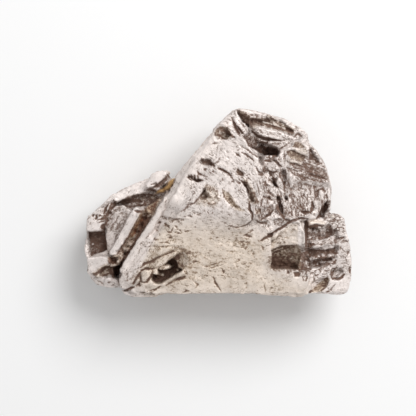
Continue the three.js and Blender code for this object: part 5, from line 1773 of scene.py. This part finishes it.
class METEORITE_OT_stage(bpy.types.Operator):
    """Lays a pale floor, hangs soft lights and sets the camera above the lump"""

    bl_idname = "meteorite.stage"
    bl_label = "Set Stage"

    FACE_HEIGHT = 0.75  # the level that the camera frames, as a share of the lump's height
    OFF_CENTRE = (-1.75 * MM, -0.9 * MM)  # how far the camera stands from over the lump's middle
    KEY_PLACE = (0.17, 0.20, 0.29)  # far and to the right, so that shadows fall to the near left
    KEY_SIZE = 0.26  # across
    ROOM_LIGHT = 0.58  # strength of the light from all round

    def execute(self, context):
        wishes = context.scene.meteorite_stage
        scene = context.scene
        scene.view_settings.view_transform = "Standard"
        self.floor(scene, wishes)
        self.world(scene)
        self.light(scene, wishes.key_power)
        camera = bpy.data.objects.new("camera", bpy.data.cameras.new("camera"))
        camera.data.lens = wishes.lens
        camera.data.clip_start = 0.01
        height = CAD_BOX[1][2] * self.FACE_HEIGHT + wishes.view_width * wishes.lens / camera.data.sensor_width
        camera.location = self.OFF_CENTRE + (height,)
        scene.collection.objects.link(camera)
        scene.camera = camera
        return {"FINISHED"}

    def floor(self, scene, wishes):
        """A wide sheet of card under the lump."""
        sheet = bmesh.new()
        bmesh.ops.create_grid(sheet, x_segments=8, y_segments=8, size=1.5)
        mesh = bpy.data.meshes.new("floor")
        sheet.to_mesh(mesh)
        sheet.free()
        floor = bpy.data.objects.new("floor", mesh)
        scene.collection.objects.link(floor)
        # matt white card: takes a soft shadow and shows nothing else
        card = bpy.data.materials.new("white card")
        card.use_nodes = True
        surface = card.node_tree.nodes["Principled BSDF"].inputs
        surface["Base Color"].default_value = tuple(wishes.floor_colour) + (1.0,)
        surface["Roughness"].default_value = 1.0
        surface["Specular IOR Level"].default_value = 0.0
        mesh.materials.append(card)

    def world(self, scene):
        """Even white light from all round."""
        world = bpy.data.worlds.new("white room")
        world.use_nodes = True
        room = world.node_tree.nodes["Background"].inputs
        room["Color"].default_value = linear("#FFFFFF")
        room["Strength"].default_value = self.ROOM_LIGHT
        scene.world = world

    def light(self, scene, power):
        """A round soft light that faces the lump."""
        lamp = bpy.data.lights.new("key", "AREA")
        lamp.shape = "DISK"
        lamp.size = self.KEY_SIZE
        lamp.energy = power
        holder = bpy.data.objects.new("key", lamp)
        holder.location = self.KEY_PLACE
        aim = -holder.location
        holder.rotation_euler = aim.to_track_quat("-Z", "Y").to_euler()
        scene.collection.objects.link(holder)


class METEORITE_PT_build(bpy.types.Panel):
    """Settings and steps of the meteorite"""

    bl_label = "Iron Meteorite"
    bl_idname = "METEORITE_PT_build"
    bl_space_type = "VIEW_3D"
    bl_region_type = "UI"
    bl_category = "Meteorite"

    def draw(self, context):
        for group, operator in GROUPS:
            box = self.layout.box()
            settings = getattr(context.scene, group)
            for name in settings.__annotations__:
                box.prop(settings, name)
            if operator:
                box.operator(operator)


GROUPS = (
    ("meteorite_finish", None),
    ("meteorite_lump", "meteorite.lump"),
    ("meteorite_stage", "meteorite.stage"),
)
SETTINGS = (
    ("meteorite_lump", MeteoriteLumpSettings),
    ("meteorite_finish", MeteoriteFinishSettings),
    ("meteorite_stage", MeteoriteStageSettings),
)
CLASSES = (METEORITE_OT_lump, METEORITE_OT_stage, METEORITE_PT_build)


def register():
    for name, settings in SETTINGS:
        bpy.utils.register_class(settings)
        setattr(bpy.types.Scene, name, PointerProperty(type=settings))
    for kind in CLASSES:
        bpy.utils.register_class(kind)


def unregister():
    for kind in reversed(CLASSES):
        bpy.utils.unregister_class(kind)
    for name, settings in reversed(SETTINGS):
        delattr(bpy.types.Scene, name)
        bpy.utils.unregister_class(settings)


def main():
    register()
    bpy.ops.meteorite.lump()
    bpy.ops.meteorite.stage()


if __name__ == "__main__":
    main()
